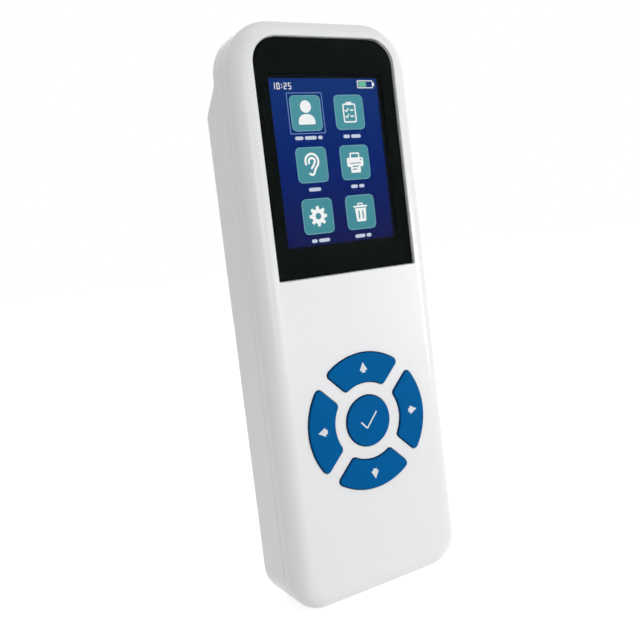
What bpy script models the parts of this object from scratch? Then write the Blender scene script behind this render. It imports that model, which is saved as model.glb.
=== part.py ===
"""Handheld otoacoustic emission screener, built piece by piece.

The device stands on its flat bottom end with the screen towards -Y and +X to the viewer's right.
Lengths are in metres. A depth is measured backwards from the front face, so a larger depth lies further
towards +Y. The origin is the middle of the outer box at the bottom.
"""
import math

import bmesh
import bpy
from mathutils import Matrix, Vector

# Casing
BODY_WIDTH = 0.0700
BODY_HEIGHT = 0.2000
BODY_DEPTH = 0.0260
TOP_CORNER = 0.0167
BOTTOM_CORNER = 0.0118
FRONT_ROUND = 0.0065
BACK_ROUND = 0.0010
FRONT_WALL = 0.0026
SIDE_WALL = 0.0022
BACK_WALL = 0.0020
PARTING_DEPTH = 0.0095
PARTING_GAP = 0.0003
LIP_THICKNESS = 0.0010
LIP_HEIGHT = 0.0014
HEAD_DEPTH = 0.0170
HEAD_LENGTH = 0.0185
HEAD_RAMP = 0.0090

# Clearances: around a seated piece, between stacked flat layers, how far a cutter runs past,
# and the distance within which points are joined
CLEARANCE = 0.0003
LAYER_GAP = 0.0002
OVERRUN = 0.0020
WELD = 0.00001

# Window and lens
WINDOW_SIDE_MARGIN = 0.0070
WINDOW_HEIGHT = 0.0804
WINDOW_TOP_MARGIN = 0.0060
WINDOW_TOP_CORNER = 0.0095
WINDOW_BOTTOM_CORNER = 0.0008
LENS_SINK = 0.0002
LENS_THICKNESS = 0.0009
TAPE_THICKNESS = 0.0003
TAPE_WIDTH = 0.0028

# Display module; the side margins are from the window to the panel and from the panel to its picture
DISPLAY_SIDE_MARGIN = 0.0034
DISPLAY_HEIGHT = 0.0562
DISPLAY_TOP_MARGIN = 0.0134
APERTURE_MARGIN = 0.0015
APERTURE_CORNER = 0.0010
LCD_SIDE_MARGIN = 0.0030
LCD_HEIGHT = 0.0692
LCD_TOP_BORDER = 0.0032
GLASS_THICKNESS = 0.0010
BACKLIGHT_THICKNESS = 0.0014
TRAY_WALL = 0.0004
FOAM_THICKNESS = 0.0010
FOAM_INSET = 0.0025
FOAM_WIDTH = 0.0060
FLEX_WIDTH = 0.0200
FLEX_THICKNESS = 0.0003
FLEX_NOTCH_MARGIN = 0.0008
LCD_PLUG_WIDTH = 0.0230
LCD_PLUG_HEIGHT = 0.0045
LCD_PLUG_THICKNESS = 0.0020
LCD_PLUG_SHARE = 0.41

# Keypad
KEYPAD_SHARE = 0.5415
KEYPAD_SIDE_MARGIN = 0.0110
KEY_RING_GAP = 0.0048
KEY_DIAGONAL_GAP = 0.0052
KEY_CORNER = 0.0015
KEY_EDGE_ROUND = 0.0004
KEY_PROUD = 0.0008
KEY_TRAVEL = 0.0008
OK_KEY_RADIUS = 0.0089
FLANGE_WIDTH = 0.0010
FLANGE_THICKNESS = 0.0010
POST_RADIUS = 0.0024
DOME_HEIGHT = 0.0016
DOME_RADIUS = 0.0038
DOME_TOP_RADIUS = 0.0030
MAT_THICKNESS = 0.0008
MAT_HOLE_MARGIN = 0.0006
MAT_RIM = 0.0010
RIB_THICKNESS = 0.0012
RIB_MARGIN = 0.0008

# Main board
BOARD_THICKNESS = 0.0016
BOARD_MARGIN = 0.0038
BOARD_TOP_MARGIN = 0.0220
BOARD_SHOULDER = 0.0175
BOARD_CORNER = 0.0020
TONGUE_WIDTH = 0.0240
TONGUE_BOTTOM = 0.0030
BOARD_SCREW_INSET = 0.0040
BOARD_SCREW_LOW = 0.0240
BOARD_SCREW_DROP = 0.0135

# Screws: head radius, head height, shank radius, shank length
CASE_SCREW = (0.0026, 0.0020, 0.0013, 0.0080)
BOARD_SCREW = (0.0020, 0.0013, 0.0010, 0.0050)
DOOR_SCREW = (0.0022, 0.0011, 0.0011, 0.0060)
SLOT_WIDTH = 0.0006
SLOT_DEPTH = 0.0006
SLOT_LENGTH_SHARE = 0.62
BOSS_WALL = 0.0014
SCREW_SEAT = 0.0016
LOWER_SCREW_INSET = 0.0110
LOWER_SCREW_HEIGHT = 0.0100
UPPER_SCREW_INSET = 0.0125
UPPER_SCREW_DROP = 0.0110

# Battery, its bay and its cover
BATTERY_WIDTH = 0.0460
BATTERY_LENGTH = 0.0620
BATTERY_CORNER = 0.0020
BATTERY_ROUND = 0.0012
BATTERY_BOTTOM = 0.0360
BAY_WALL = 0.0016
COVER_THICKNESS = 0.0024
COVER_LEDGE = 0.0016
COVER_END = 0.0090
COVER_CORNER = 0.0030
COVER_EDGE_ROUND = 0.0004
COVER_SCREW_SINK = 0.0001
SHELF_THICKNESS = 0.0015
CONTACT_BLOCK_WIDTH = 0.0140
CONTACT_BLOCK_HEIGHT = 0.0060
CONTACT_BLOCK_THICKNESS = 0.0034
CONTACT_DROP = 0.0080
CONTACT_COUNT = 3
CONTACT_PITCH = 0.0040
CONTACT_PIN_RADIUS = 0.0008
CONTACT_SINK_SHARE = 0.6

# Probe socket, at the top end
SOCKET_RADIUS = 0.0041
SOCKET_WALL = 0.0007
SOCKET_GROOVE = 0.0003
SOCKET_FLANGE_WIDTH = 0.0008
SOCKET_FLANGE_THICKNESS = 0.0010
SOCKET_SINK = 0.0003
SOCKET_LENGTH = 0.0128
SOCKET_WELL = 0.0064
SOCKET_KEY_WIDTH = 0.0010
SOCKET_KEY_DEPTH = 0.0004
INSERT_TAIL = 0.0006
PIN_COUNT = 7
PIN_CIRCLE = 0.0021
PIN_HOLE_RADIUS = 0.00035
PIN_HOLE_DEPTH = 0.0020
KEEPER_START = 0.0026
KEEPER_LENGTH = 0.0066
KEEPER_THICKNESS = 0.0012
PROBE_PLUG_WIDTH = 0.0130
PROBE_PLUG_HEIGHT = 0.0050
PROBE_PLUG_THICKNESS = 0.0030
PROBE_PLUG_DROP = 0.0050
PROBE_RIBBON_WIDTH = 0.0060
PROBE_RIBBON_THICKNESS = 0.0006
PROBE_RIBBON_SAG = 0.0020

# Charging socket, at the bottom end
USB_WIDTH = 0.0089
USB_THICKNESS = 0.0032
USB_LENGTH = 0.0073
USB_SHEET = 0.0003
USB_SINK = 0.0009
USB_BLADE_WIDTH = 0.0066
USB_BLADE_THICKNESS = 0.0007
USB_BLADE_LENGTH = 0.0048

# Parts on the back of the board: width, height and thickness
CHIP_SIZES = {
    "processor_chip": (0.0120, 0.0120, 0.0012),
    "audio_codec_chip": (0.0080, 0.0080, 0.0010),
    "memory_chip": (0.0080, 0.0110, 0.0010),
    "clock_crystal": (0.0050, 0.0032, 0.0010),
    "power_inductor": (0.0060, 0.0060, 0.0030),
    "charger_chip": (0.0040, 0.0040, 0.0009),
}
SHIELD_SIZE = (0.0150, 0.0180, 0.0024)
SHIELD_SHEET = 0.0003
BUZZER_RADIUS = 0.0060
BUZZER_HEIGHT = 0.0030
BUZZER_HOLE = 0.0012
CLOCK_CELL_RADIUS = 0.0062
CLOCK_CELL_HEIGHT = 0.0020
HOLDER_WALL = 0.0008
HOLDER_FLOOR = 0.0006
CAPACITOR_RADIUS = 0.0022
CAPACITOR_HEIGHT = 0.0050

# Where the columns of those parts stand, as a share of the board's half width
COLUMN_SHARE = 0.50

# Roundness: faces in a full turn, faces in a quarter turn, and faces across a small edge
TURN_STEPS = 28
SMALL_STEPS = 12
CORNER_STEPS = 8
FILLET_STEPS = 5
EDGE_STEPS = 2
ARC_STEPS = 10
QUARTER_TURN = math.radians(90)
SHARP_ANGLE = math.radians(35)

# Places worked out from the sizes above
HALF = 0.5
FRONT_Y = -(BODY_DEPTH - KEY_PROUD) * HALF
HALF_WIDTH = BODY_WIDTH * HALF
WINDOW_WIDTH = BODY_WIDTH - 2 * WINDOW_SIDE_MARGIN
WINDOW_TOP = BODY_HEIGHT - WINDOW_TOP_MARGIN
WINDOW_MIDDLE = WINDOW_TOP - WINDOW_HEIGHT * HALF
KEYPAD_HEIGHT = KEYPAD_SHARE * (WINDOW_TOP - WINDOW_HEIGHT)
POCKET_DEPTH = LENS_SINK + LENS_THICKNESS + LAYER_GAP + TAPE_THICKNESS + LAYER_GAP
LCD_WIDTH = WINDOW_WIDTH - 2 * LCD_SIDE_MARGIN
DISPLAY_WIDTH = LCD_WIDTH - 2 * DISPLAY_SIDE_MARGIN
DISPLAY_TOP = WINDOW_TOP - DISPLAY_TOP_MARGIN
DISPLAY_MIDDLE = DISPLAY_TOP - DISPLAY_HEIGHT * HALF
LCD_TOP = DISPLAY_TOP + LCD_TOP_BORDER
LCD_MIDDLE = LCD_TOP - LCD_HEIGHT * HALF
LCD_BOTTOM = LCD_TOP - LCD_HEIGHT
GLASS_DEPTH = FRONT_WALL + CLEARANCE
BACKLIGHT_DEPTH = GLASS_DEPTH + GLASS_THICKNESS + LAYER_GAP
TRAY_FLOOR_DEPTH = BACKLIGHT_DEPTH + BACKLIGHT_THICKNESS + LAYER_GAP
TRAY_BACK_DEPTH = TRAY_FLOOR_DEPTH + TRAY_WALL
FOAM_DEPTH = TRAY_BACK_DEPTH + LAYER_GAP
BOARD_DEPTH = FOAM_DEPTH + FOAM_THICKNESS + LAYER_GAP
BOARD_BACK = BOARD_DEPTH + BOARD_THICKNESS
CHIP_DEPTH = BOARD_BACK + LAYER_GAP
BOARD_HALF = HALF_WIDTH - SIDE_WALL - BOARD_MARGIN
BOARD_TOP = BODY_HEIGHT - BOARD_TOP_MARGIN
FRONT_EDGE = PARTING_DEPTH - PARTING_GAP * HALF
BACK_EDGE = PARTING_DEPTH + PARTING_GAP * HALF
LIP_BACK = PARTING_DEPTH + LIP_HEIGHT
CASE_SEAT_DEPTH = LIP_BACK + CLEARANCE + SCREW_SEAT + LAYER_GAP
KEY_RING_OUTER = HALF_WIDTH - KEYPAD_SIDE_MARGIN
KEY_RING_INNER = OK_KEY_RADIUS + KEY_RING_GAP
KEY_RING_MIDDLE = (KEY_RING_OUTER + KEY_RING_INNER) * HALF
RIB_INNER = KEY_RING_OUTER + FLANGE_WIDTH + RIB_MARGIN
MAT_RADIUS = RIB_INNER + RIB_THICKNESS + MAT_RIM
MAT_DEPTH = BOARD_DEPTH - LAYER_GAP - MAT_THICKNESS
LCD_PLUG_MIDDLE = LCD_BOTTOM - LCD_PLUG_SHARE * (LCD_BOTTOM - KEYPAD_HEIGHT - MAT_RADIUS)
FLANGE_DEPTH = FRONT_WALL + CLEARANCE
FLANGE_BACK = FLANGE_DEPTH + FLANGE_THICKNESS
DOME_BACK = BOARD_DEPTH - CLEARANCE - KEY_TRAVEL
DOME_DEPTH = DOME_BACK - DOME_HEIGHT
BAY_FLOOR = CHIP_DEPTH + CONTACT_BLOCK_THICKNESS + CLEARANCE + BAY_WALL
BATTERY_DEPTH = BAY_FLOOR + CLEARANCE
BATTERY_BACK = BODY_DEPTH - COVER_THICKNESS - CLEARANCE
BATTERY_THICKNESS = BATTERY_BACK - BATTERY_DEPTH
BATTERY_TOP = BATTERY_BOTTOM + BATTERY_LENGTH
BATTERY_MIDDLE = (BATTERY_BOTTOM + BATTERY_TOP) * HALF
BAY_WIDTH = BATTERY_WIDTH + 2 * CLEARANCE
BAY_LENGTH = BATTERY_LENGTH + 2 * CLEARANCE
BAY_BOX_LENGTH = BAY_LENGTH + 2 * BAY_WALL
COVER_SEAT = BODY_DEPTH - COVER_THICKNESS - CLEARANCE
COVER_WIDTH = BAY_WIDTH + 2 * COVER_LEDGE
COVER_LENGTH = BAY_LENGTH + 2 * COVER_END
COVER_SCREW_OFFSET = (BAY_LENGTH + COVER_END) * HALF
SOCKET_DEPTH = HEAD_DEPTH - BACK_WALL - CLEARANCE - SOCKET_RADIUS
SOCKET_BORE = SOCKET_RADIUS - SOCKET_WALL
SOCKET_NECK = SOCKET_RADIUS - SOCKET_GROOVE
SOCKET_FLANGE_RADIUS = SOCKET_RADIUS + SOCKET_FLANGE_WIDTH
SOCKET_TOP = BODY_HEIGHT - SOCKET_SINK
SOCKET_BOTTOM = SOCKET_TOP - SOCKET_LENGTH
USB_DEPTH = CHIP_DEPTH + USB_THICKNESS * HALF
USB_MIDDLE = USB_SINK + USB_LENGTH * HALF

KEYS = {"up_key": 0, "left_key": 1, "down_key": 2, "right_key": 3}
DOMES = {"up_key": "up_dome", "left_key": "left_dome",
         "down_key": "down_dome", "right_key": "right_dome"}


def y_at(depth):
    """World Y of a depth behind the front face."""
    return FRONT_Y + depth


def clear_scene():
    for obj in list(bpy.data.objects):
        bpy.data.objects.remove(obj, do_unlink=True)


def make_collection(name):
    collection = bpy.data.collections.new(name)
    bpy.context.scene.collection.children.link(collection)
    return collection


clear_scene()
PARTS = make_collection("otoacoustic_emission_screener")
CUTTERS = make_collection("cutters")


def material(name, colour, roughness, metallic=0.0, alpha=1.0):
    """A Principled material, made once for each name."""
    found = bpy.data.materials.get(name)
    if found:
        return found
    made = bpy.data.materials.new(name)
    made.use_nodes = True
    made.diffuse_color = (*colour, alpha)
    shader = made.node_tree.nodes["Principled BSDF"]
    shader.inputs["Base Color"].default_value = (*colour, 1.0)
    shader.inputs["Roughness"].default_value = roughness
    shader.inputs["Metallic"].default_value = metallic
    shader.inputs["Alpha"].default_value = alpha
    return made


def white_plastic():
    return material("white_abs", (0.80, 0.81, 0.82), 0.38)


def blue_plastic():
    return material("blue_key_plastic", (0.004, 0.108, 0.318), 0.45)


def lens_plastic():
    return material("black_window_acrylic", (0.006, 0.008, 0.008), 0.10)


def black_plastic():
    return material("black_nylon", (0.020, 0.021, 0.023), 0.50)


def silicone():
    return material("grey_silicone", (0.30, 0.31, 0.32), 0.60)


def foam():
    return material("black_foam", (0.03, 0.03, 0.03), 0.90)


def glass():
    return material("display_glass", (0.010, 0.030, 0.100), 0.08)


def diffuser():
    return material("backlight_diffuser", (0.78, 0.80, 0.82), 0.45)


def polyimide():
    return material("polyimide_film", (0.42, 0.16, 0.03), 0.35)


def board_resist():
    return material("green_board", (0.010, 0.110, 0.050), 0.40)


def chip_epoxy():
    return material("chip_epoxy", (0.016, 0.017, 0.018), 0.55)


def steel():
    return material("nickelled_steel", (0.56, 0.57, 0.58), 0.28, 1.0)


def gold():
    return material("gold_plating", (0.83, 0.58, 0.22), 0.25, 1.0)


def battery_wrap():
    return material("battery_wrap", (0.055, 0.085, 0.150), 0.42)


def add_piece(name, bm, location, finish=None, smooth=False):
    """Turn a bmesh into an object; a piece without a finish is a cutter."""
    bmesh.ops.recalc_face_normals(bm, faces=bm.faces)
    mesh = bpy.data.meshes.new(name)
    bm.to_mesh(mesh)
    bm.free()
    obj = bpy.data.objects.new(name, mesh)
    obj.location = location
    if finish is None:
        return as_cutter(obj)
    PARTS.objects.link(obj)
    mesh.materials.append(finish)
    if smooth:
        mesh.shade_smooth()
        mesh.set_sharp_from_angle(angle=SHARP_ANGLE)
    return obj


def as_cutter(obj):
    for collection in list(obj.users_collection):
        collection.objects.unlink(obj)
    CUTTERS.objects.link(obj)
    obj.hide_render = True
    obj.display_type = "WIRE"
    return obj


def boolean(target, other, operation):
    modifier = target.modifiers.new(f"{operation.lower()} {other.name}", "BOOLEAN")
    modifier.operation = operation
    modifier.solver = "EXACT"
    modifier.object = other
    return target


def cut(target, *cutters):
    for cutter in cutters:
        boolean(target, cutter, "DIFFERENCE")
    return target


def fuse(target, *others):
    for other in others:
        boolean(target, other, "UNION")
    return target


def along_depth(edge):
    """Whether an edge runs from front to back."""
    first, second = edge.verts
    return (first.co.xz - second.co.xz).length < abs(first.co.y - second.co.y) * HALF


def bevel(bm, edges, radius, steps):
    bmesh.ops.bevel(bm, geom=edges, offset=radius, offset_type="OFFSET", segments=steps, profile=HALF,
                    affect="EDGES", clamp_overlap=False)


def round_rim(bm, y, radius, steps):
    """Round the rim of the flat face that lies at y."""
    reach = radius * HALF
    rim = [edge for edge in bm.edges if all(abs(v.co.y - y) < reach for v in edge.verts)]
    bevel(bm, rim, radius, steps)


def slab(name, size, place, finish=None, corners=(0, 0), rims=(0, 0), rim_steps=EDGE_STEPS):
    """A box with rounded upright corners and rounded rims.

    size is width, thickness and height, and place is x, the depth of its front and the height of its
    middle. corners are the radii of the upper and the lower two, rims those at the front and the back.
    """
    width, thickness, height = size
    x, depth, z = place
    bm = bmesh.new()
    bmesh.ops.create_cube(bm, size=1)
    bmesh.ops.scale(bm, vec=Vector((width, thickness, height)), verts=bm.verts)
    for side, radius in zip((1, -1), corners):
        if radius:
            edges = [e for e in bm.edges if along_depth(e) and min(side * v.co.z for v in e.verts) > 0]
            bevel(bm, edges, radius, max(EDGE_STEPS, round(CORNER_STEPS * radius / TOP_CORNER)))
    for side, radius in zip((-1, 1), rims):
        if radius:
            round_rim(bm, side * thickness * HALF, radius, rim_steps)
    centre = (x, y_at(depth + thickness * HALF), z)
    return add_piece(name, bm, centre, finish, smooth=max(corners) > 0)


def rod(name, radius, place, back_depth, finish=None, steps=TURN_STEPS, back_radius=None):
    """A cylinder or cone from front to back; place is x, the depth of its front and z."""
    x, depth, z = place
    length = back_depth - depth
    wide = radius if back_radius is None else back_radius
    bm = bmesh.new()
    bmesh.ops.create_cone(bm, cap_ends=True, segments=steps, radius1=wide, radius2=radius, depth=length)
    bmesh.ops.rotate(bm, verts=bm.verts, cent=Vector(), matrix=Matrix.Rotation(QUARTER_TURN, 3, "X"))
    return add_piece(name, bm, (x, y_at(depth + length * HALF), z), finish, smooth=True)


def upright_rod(name, radius, place, height, finish=None, steps=TURN_STEPS):
    """A cylinder that stands along Z; place is x, its depth and the height of its middle."""
    x, depth, z = place
    bm = bmesh.new()
    bmesh.ops.create_cone(bm, cap_ends=True, segments=steps, radius1=radius, radius2=radius, depth=height)
    return add_piece(name, bm, (x, y_at(depth), z), finish, smooth=True)


def turned(name, profile, place, finish, closed=False, faces_back=False, steps=TURN_STEPS):
    """A turned piece: the profile's (radius, height) points run down its outer side.

    It stands along Z, or with faces_back it points its top towards +Y.
    """
    mesh = bpy.data.meshes.new(name)
    points = [(radius, 0, height) for radius, height in profile]
    edges = [(i, i + 1) for i in range(len(points) - 1)]
    if closed:
        edges.append((len(points) - 1, 0))
    mesh.from_pydata(points, edges, [])
    obj = bpy.data.objects.new(name, mesh)
    x, depth, z = place
    obj.location = (x, y_at(depth), z)
    if faces_back:
        obj.rotation_euler = (-QUARTER_TURN, 0, 0)
    PARTS.objects.link(obj)
    mesh.materials.append(finish)
    screw_turn = obj.modifiers.new("turn", "SCREW")
    screw_turn.steps = steps
    screw_turn.render_steps = steps
    screw_turn.use_merge_vertices = True
    screw_turn.merge_threshold = WELD
    obj.data = bpy.data.meshes.new_from_object(obj.evaluated_get(bpy.context.evaluated_depsgraph_get()))
    obj.modifiers.clear()
    obj.data.shade_smooth()
    obj.data.set_sharp_from_angle(angle=SHARP_ANGLE)
    return obj


def ribbon(name, route, width, thickness, finish):
    """A flat strip along a route of (depth, height) points, centred on x = 0."""
    bm = bmesh.new()
    rows = []
    for depth, height in route:
        rows.append([bm.verts.new((side * width * HALF, y_at(depth), height)) for side in (-1, 1)])
    for upper, lower in zip(rows, rows[1:]):
        bm.faces.new((upper[0], upper[1], lower[1], lower[0]))
    obj = add_piece(name, bm, (0, 0, 0), finish)
    solid = obj.modifiers.new("thickness", "SOLIDIFY")
    solid.thickness = thickness
    solid.offset = 0
    return obj


def s_bend(start, end, steps=SMALL_STEPS):
    """Points from start to end that leave and arrive straight down: depth follows half a cosine wave."""
    points = []
    for i in range(steps + 1):
        share = i / steps
        blend = (1 - math.cos(math.pi * share)) * HALF
        points.append((start[0] + (end[0] - start[0]) * blend, start[1] + (end[1] - start[1]) * share))
    return points


def crossed_slot(name, length, depth_in, place):
    """Two crossed bars for a screw head's recess; place is x, the depth of the head's back and z."""
    x, depth, z = place
    size = (length, depth_in + OVERRUN, SLOT_WIDTH)
    bars = slab(f"{name}_slot", size, (x, depth - depth_in, z))
    other = slab(f"{name}_slot_upright", (SLOT_WIDTH, size[1], length), (x, depth - depth_in, z))
    return bars, other


def screw(name, sizes, x, seat, z, finish):
    """A screw driven from behind, whose head bears towards the front at the depth seat."""
    head_radius, head_height, shank_radius, shank_length = sizes
    rim = head_height * HALF
    profile = [(0, head_height), (head_radius - rim * HALF, head_height), (head_radius, rim),
               (head_radius, 0), (shank_radius, 0), (shank_radius, shank_radius - shank_length),
               (0, -shank_length)]
    obj = turned(name, profile, (x, seat, z), finish, faces_back=True, steps=SMALL_STEPS)
    bars = crossed_slot(name, 2 * head_radius * SLOT_LENGTH_SHARE, SLOT_DEPTH, (x, seat + head_height, z))
    return cut(obj, *bars)


def arc(centre, radius, start, end, steps):
    """Points along an arc, from one angle to another."""
    points = []
    for i in range(steps + 1):
        angle = start + (end - start) * i / steps
        points.append((centre[0] + radius * math.cos(angle), centre[1] + radius * math.sin(angle)))
    return points


def sector_outline(grow):
    """The outline of the top key about the keypad's middle, grown all round by grow.

    It is a sector between two circles, whose sides run along the diagonals. The sector is first taken
    smaller by the corner radius, and then grown back, which rounds its corners.
    """
    outer, inner = KEY_RING_OUTER - KEY_CORNER, KEY_RING_INNER + KEY_CORNER
    side = KEY_DIAGONAL_GAP * HALF + KEY_CORNER
    round_by = KEY_CORNER + grow
    outer_angle = QUARTER_TURN * HALF + math.asin(side / outer)
    inner_angle = QUARTER_TURN * HALF + math.asin(side / inner)
    outer_corner = (outer * math.cos(outer_angle), outer * math.sin(outer_angle))
    inner_corner = (inner * math.cos(inner_angle), inner * math.sin(inner_angle))
    side_angle = -QUARTER_TURN * HALF
    right = arc((0, 0), outer + round_by, QUARTER_TURN, outer_angle, ARC_STEPS // 2)
    right += arc(outer_corner, round_by, outer_angle, side_angle, EDGE_STEPS + 2)[1:]
    right += arc(inner_corner, round_by, side_angle, inner_angle - 2 * QUARTER_TURN, EDGE_STEPS + 2)
    right += arc((0, 0), inner - round_by, inner_angle, QUARTER_TURN, ARC_STEPS // 2)[1:]
    return right + [(-x, z) for x, z in reversed(right[1:-1])]


def key_sector(name, grow, depth, back_depth, quarter, finish=None, edge_round=0):
    """A ring key's cap, opening or flange; quarter counts quarter turns from the top key."""
    thickness = back_depth - depth
    bm = bmesh.new()
    face = bm.faces.new([bm.verts.new((x, -thickness * HALF, z)) for x, z in sector_outline(grow)])
    moved = bmesh.ops.extrude_face_region(bm, geom=[face])["geom"]
    back = [v for v in moved if isinstance(v, bmesh.types.BMVert)]
    bmesh.ops.translate(bm, vec=(0, thickness, 0), verts=back)
    if edge_round:
        bmesh.ops.recalc_face_normals(bm, faces=bm.faces)
        round_rim(bm, -thickness * HALF, edge_round, EDGE_STEPS)
    turn = Matrix.Rotation(-quarter * QUARTER_TURN, 3, "Y")
    bmesh.ops.rotate(bm, verts=bm.verts, cent=Vector(), matrix=turn)
    return add_piece(name, bm, (0, y_at(depth + thickness * HALF), KEYPAD_HEIGHT), finish, smooth=True)


def key_middle(quarter):
    """x and z of the middle of a ring key."""
    angle = QUARTER_TURN * (1 + quarter)
    return KEY_RING_MIDDLE * math.cos(angle), KEYPAD_HEIGHT + KEY_RING_MIDDLE * math.sin(angle)


def casing(name, depth, back_depth, inset, finish=None, rims=(0, 0)):
    """The casing's rounded outline, inset all round, between two depths."""
    size = (BODY_WIDTH - 2 * inset, back_depth - depth, BODY_HEIGHT - 2 * inset)
    corners = (TOP_CORNER - inset, BOTTOM_CORNER - inset)
    steps = FILLET_STEPS if max(rims) > BACK_ROUND else EDGE_STEPS
    return slab(name, size, (0, depth, BODY_HEIGHT * HALF), finish, corners, rims, steps)


def case_screw_places():
    """x, z and name of the four screws that hold the two shells together."""
    lower_x, upper_x = HALF_WIDTH - LOWER_SCREW_INSET, HALF_WIDTH - UPPER_SCREW_INSET
    upper_z = BODY_HEIGHT - UPPER_SCREW_DROP
    return [(-lower_x, LOWER_SCREW_HEIGHT, "lower_left"), (lower_x, LOWER_SCREW_HEIGHT, "lower_right"),
            (-upper_x, upper_z, "upper_left"), (upper_x, upper_z, "upper_right")]


def board_screw_places():
    """x, z and name of the four screws that hold the board to the front shell."""
    x = BOARD_HALF - BOARD_SCREW_INSET
    low, high = BOARD_SCREW_LOW, LCD_BOTTOM - BOARD_SCREW_DROP
    return [(-x, low, "lower_left"), (x, low, "lower_right"),
            (-x, high, "upper_left"), (x, high, "upper_right")]


def socket_cutters(owner):
    """The seat and the hole of the probe socket, and the slot of the charging socket, for one shell."""
    seat_height = SOCKET_FLANGE_THICKNESS + SOCKET_SINK + LAYER_GAP
    seat_size = seat_height + OVERRUN
    seat = upright_rod(f"{owner}_socket_seat", SOCKET_FLANGE_RADIUS + CLEARANCE,
                       (0, SOCKET_DEPTH, BODY_HEIGHT - seat_height + seat_size * HALF), seat_size)
    hole_length = 2 * SIDE_WALL + OVERRUN
    hole = upright_rod(f"{owner}_socket_hole", SOCKET_RADIUS + CLEARANCE,
                       (0, SOCKET_DEPTH, BODY_HEIGHT - SIDE_WALL), hole_length)
    slot_size = (USB_WIDTH + 2 * CLEARANCE, USB_THICKNESS + 2 * CLEARANCE, 2 * SIDE_WALL + OVERRUN)
    slot = slab(f"{owner}_usb_slot", slot_size, (0, CHIP_DEPTH - CLEARANCE, SIDE_WALL * HALF))
    return seat, hole, slot


def make_front_shell():
    shell = casing("front_shell", 0, FRONT_EDGE, 0, white_plastic(), rims=(FRONT_ROUND, 0))
    lip = casing("front_lip", PARTING_DEPTH - LIP_HEIGHT, LIP_BACK, SIDE_WALL - LIP_THICKNESS)
    hollow = casing("front_hollow", FRONT_WALL, LIP_BACK + OVERRUN, SIDE_WALL,
                    rims=(FRONT_ROUND - SIDE_WALL, 0))
    fuse(shell, lip)
    cut(shell, hollow)
    for x, z, name in case_screw_places():
        boss = rod(f"front_boss_{name}", CASE_SCREW[2] + CLEARANCE + BOSS_WALL, (x, FRONT_WALL * HALF, z),
                   LIP_BACK, steps=SMALL_STEPS)
        bore = rod(f"front_bore_{name}", CASE_SCREW[2] + CLEARANCE,
                   (x, CASE_SEAT_DEPTH - CASE_SCREW[3] - CLEARANCE, z), LIP_BACK + OVERRUN, steps=SMALL_STEPS)
        fuse(shell, boss)
        cut(shell, bore)
    for x, z, name in board_screw_places():
        boss = rod(f"board_boss_{name}", BOARD_SCREW[2] + CLEARANCE + BOSS_WALL, (x, FRONT_WALL * HALF, z),
                   BOARD_DEPTH - CLEARANCE, steps=SMALL_STEPS)
        bore_front = BOARD_BACK + LAYER_GAP - BOARD_SCREW[3] - CLEARANCE
        bore = rod(f"board_bore_{name}", BOARD_SCREW[2] + CLEARANCE, (x, bore_front, z),
                   BOARD_DEPTH + OVERRUN, steps=SMALL_STEPS)
        fuse(shell, boss)
        cut(shell, bore)
    rib = rod("keypad_rib", RIB_INNER + RIB_THICKNESS, (0, FRONT_WALL * HALF, KEYPAD_HEIGHT),
              MAT_DEPTH - CLEARANCE)
    rib_bore = rod("keypad_rib_bore", RIB_INNER, (0, -OVERRUN, KEYPAD_HEIGHT), MAT_DEPTH + OVERRUN)
    fuse(shell, cut(rib, rib_bore))
    pocket = slab("window_pocket", (WINDOW_WIDTH, POCKET_DEPTH + OVERRUN, WINDOW_HEIGHT),
                  (0, -OVERRUN, WINDOW_MIDDLE), corners=(WINDOW_TOP_CORNER, WINDOW_BOTTOM_CORNER))
    aperture_size = (DISPLAY_WIDTH + 2 * APERTURE_MARGIN, FRONT_WALL + 2 * OVERRUN,
                     DISPLAY_HEIGHT + 2 * APERTURE_MARGIN)
    aperture = slab("display_aperture", aperture_size, (0, -OVERRUN, DISPLAY_MIDDLE),
                    corners=(APERTURE_CORNER, APERTURE_CORNER))
    cut(shell, pocket, aperture)
    for name, quarter in KEYS.items():
        cut(shell, key_sector(f"{name}_opening", CLEARANCE, -OVERRUN, FRONT_WALL + OVERRUN, quarter))
    cut(shell, rod("ok_key_opening", OK_KEY_RADIUS + CLEARANCE, (0, -OVERRUN, KEYPAD_HEIGHT),
                   FRONT_WALL + OVERRUN))
    return cut(shell, *socket_cutters("front"))


def head_wedge(name, inset):
    """What the slim head leaves off the back, its faces moved inwards by inset.

    Seen from the side it is the region behind the head's back face and the ramp below it.
    """
    low = BODY_HEIGHT - HEAD_LENGTH - HEAD_RAMP
    recess = BODY_DEPTH - HEAD_DEPTH
    turn = math.atan2(recess, HEAD_RAMP)
    drop = inset * math.tan(turn * HALF)
    high = BODY_HEIGHT - HEAD_LENGTH - drop
    back, head = BODY_DEPTH - inset, HEAD_DEPTH - inset
    slope = HEAD_RAMP / recess
    far = back + OVERRUN
    side = [(head, high), (head, BODY_HEIGHT + OVERRUN), (far, BODY_HEIGHT + OVERRUN),
            (far, low - drop - OVERRUN * slope)]
    half = HALF_WIDTH + OVERRUN
    bm = bmesh.new()
    face = bm.faces.new([bm.verts.new((-half, y_at(depth), z)) for depth, z in side])
    moved = bmesh.ops.extrude_face_region(bm, geom=[face])["geom"]
    far_side = [v for v in moved if isinstance(v, bmesh.types.BMVert)]
    bmesh.ops.translate(bm, vec=(2 * half, 0, 0), verts=far_side)
    return add_piece(name, bm, (0, 0, 0))


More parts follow.
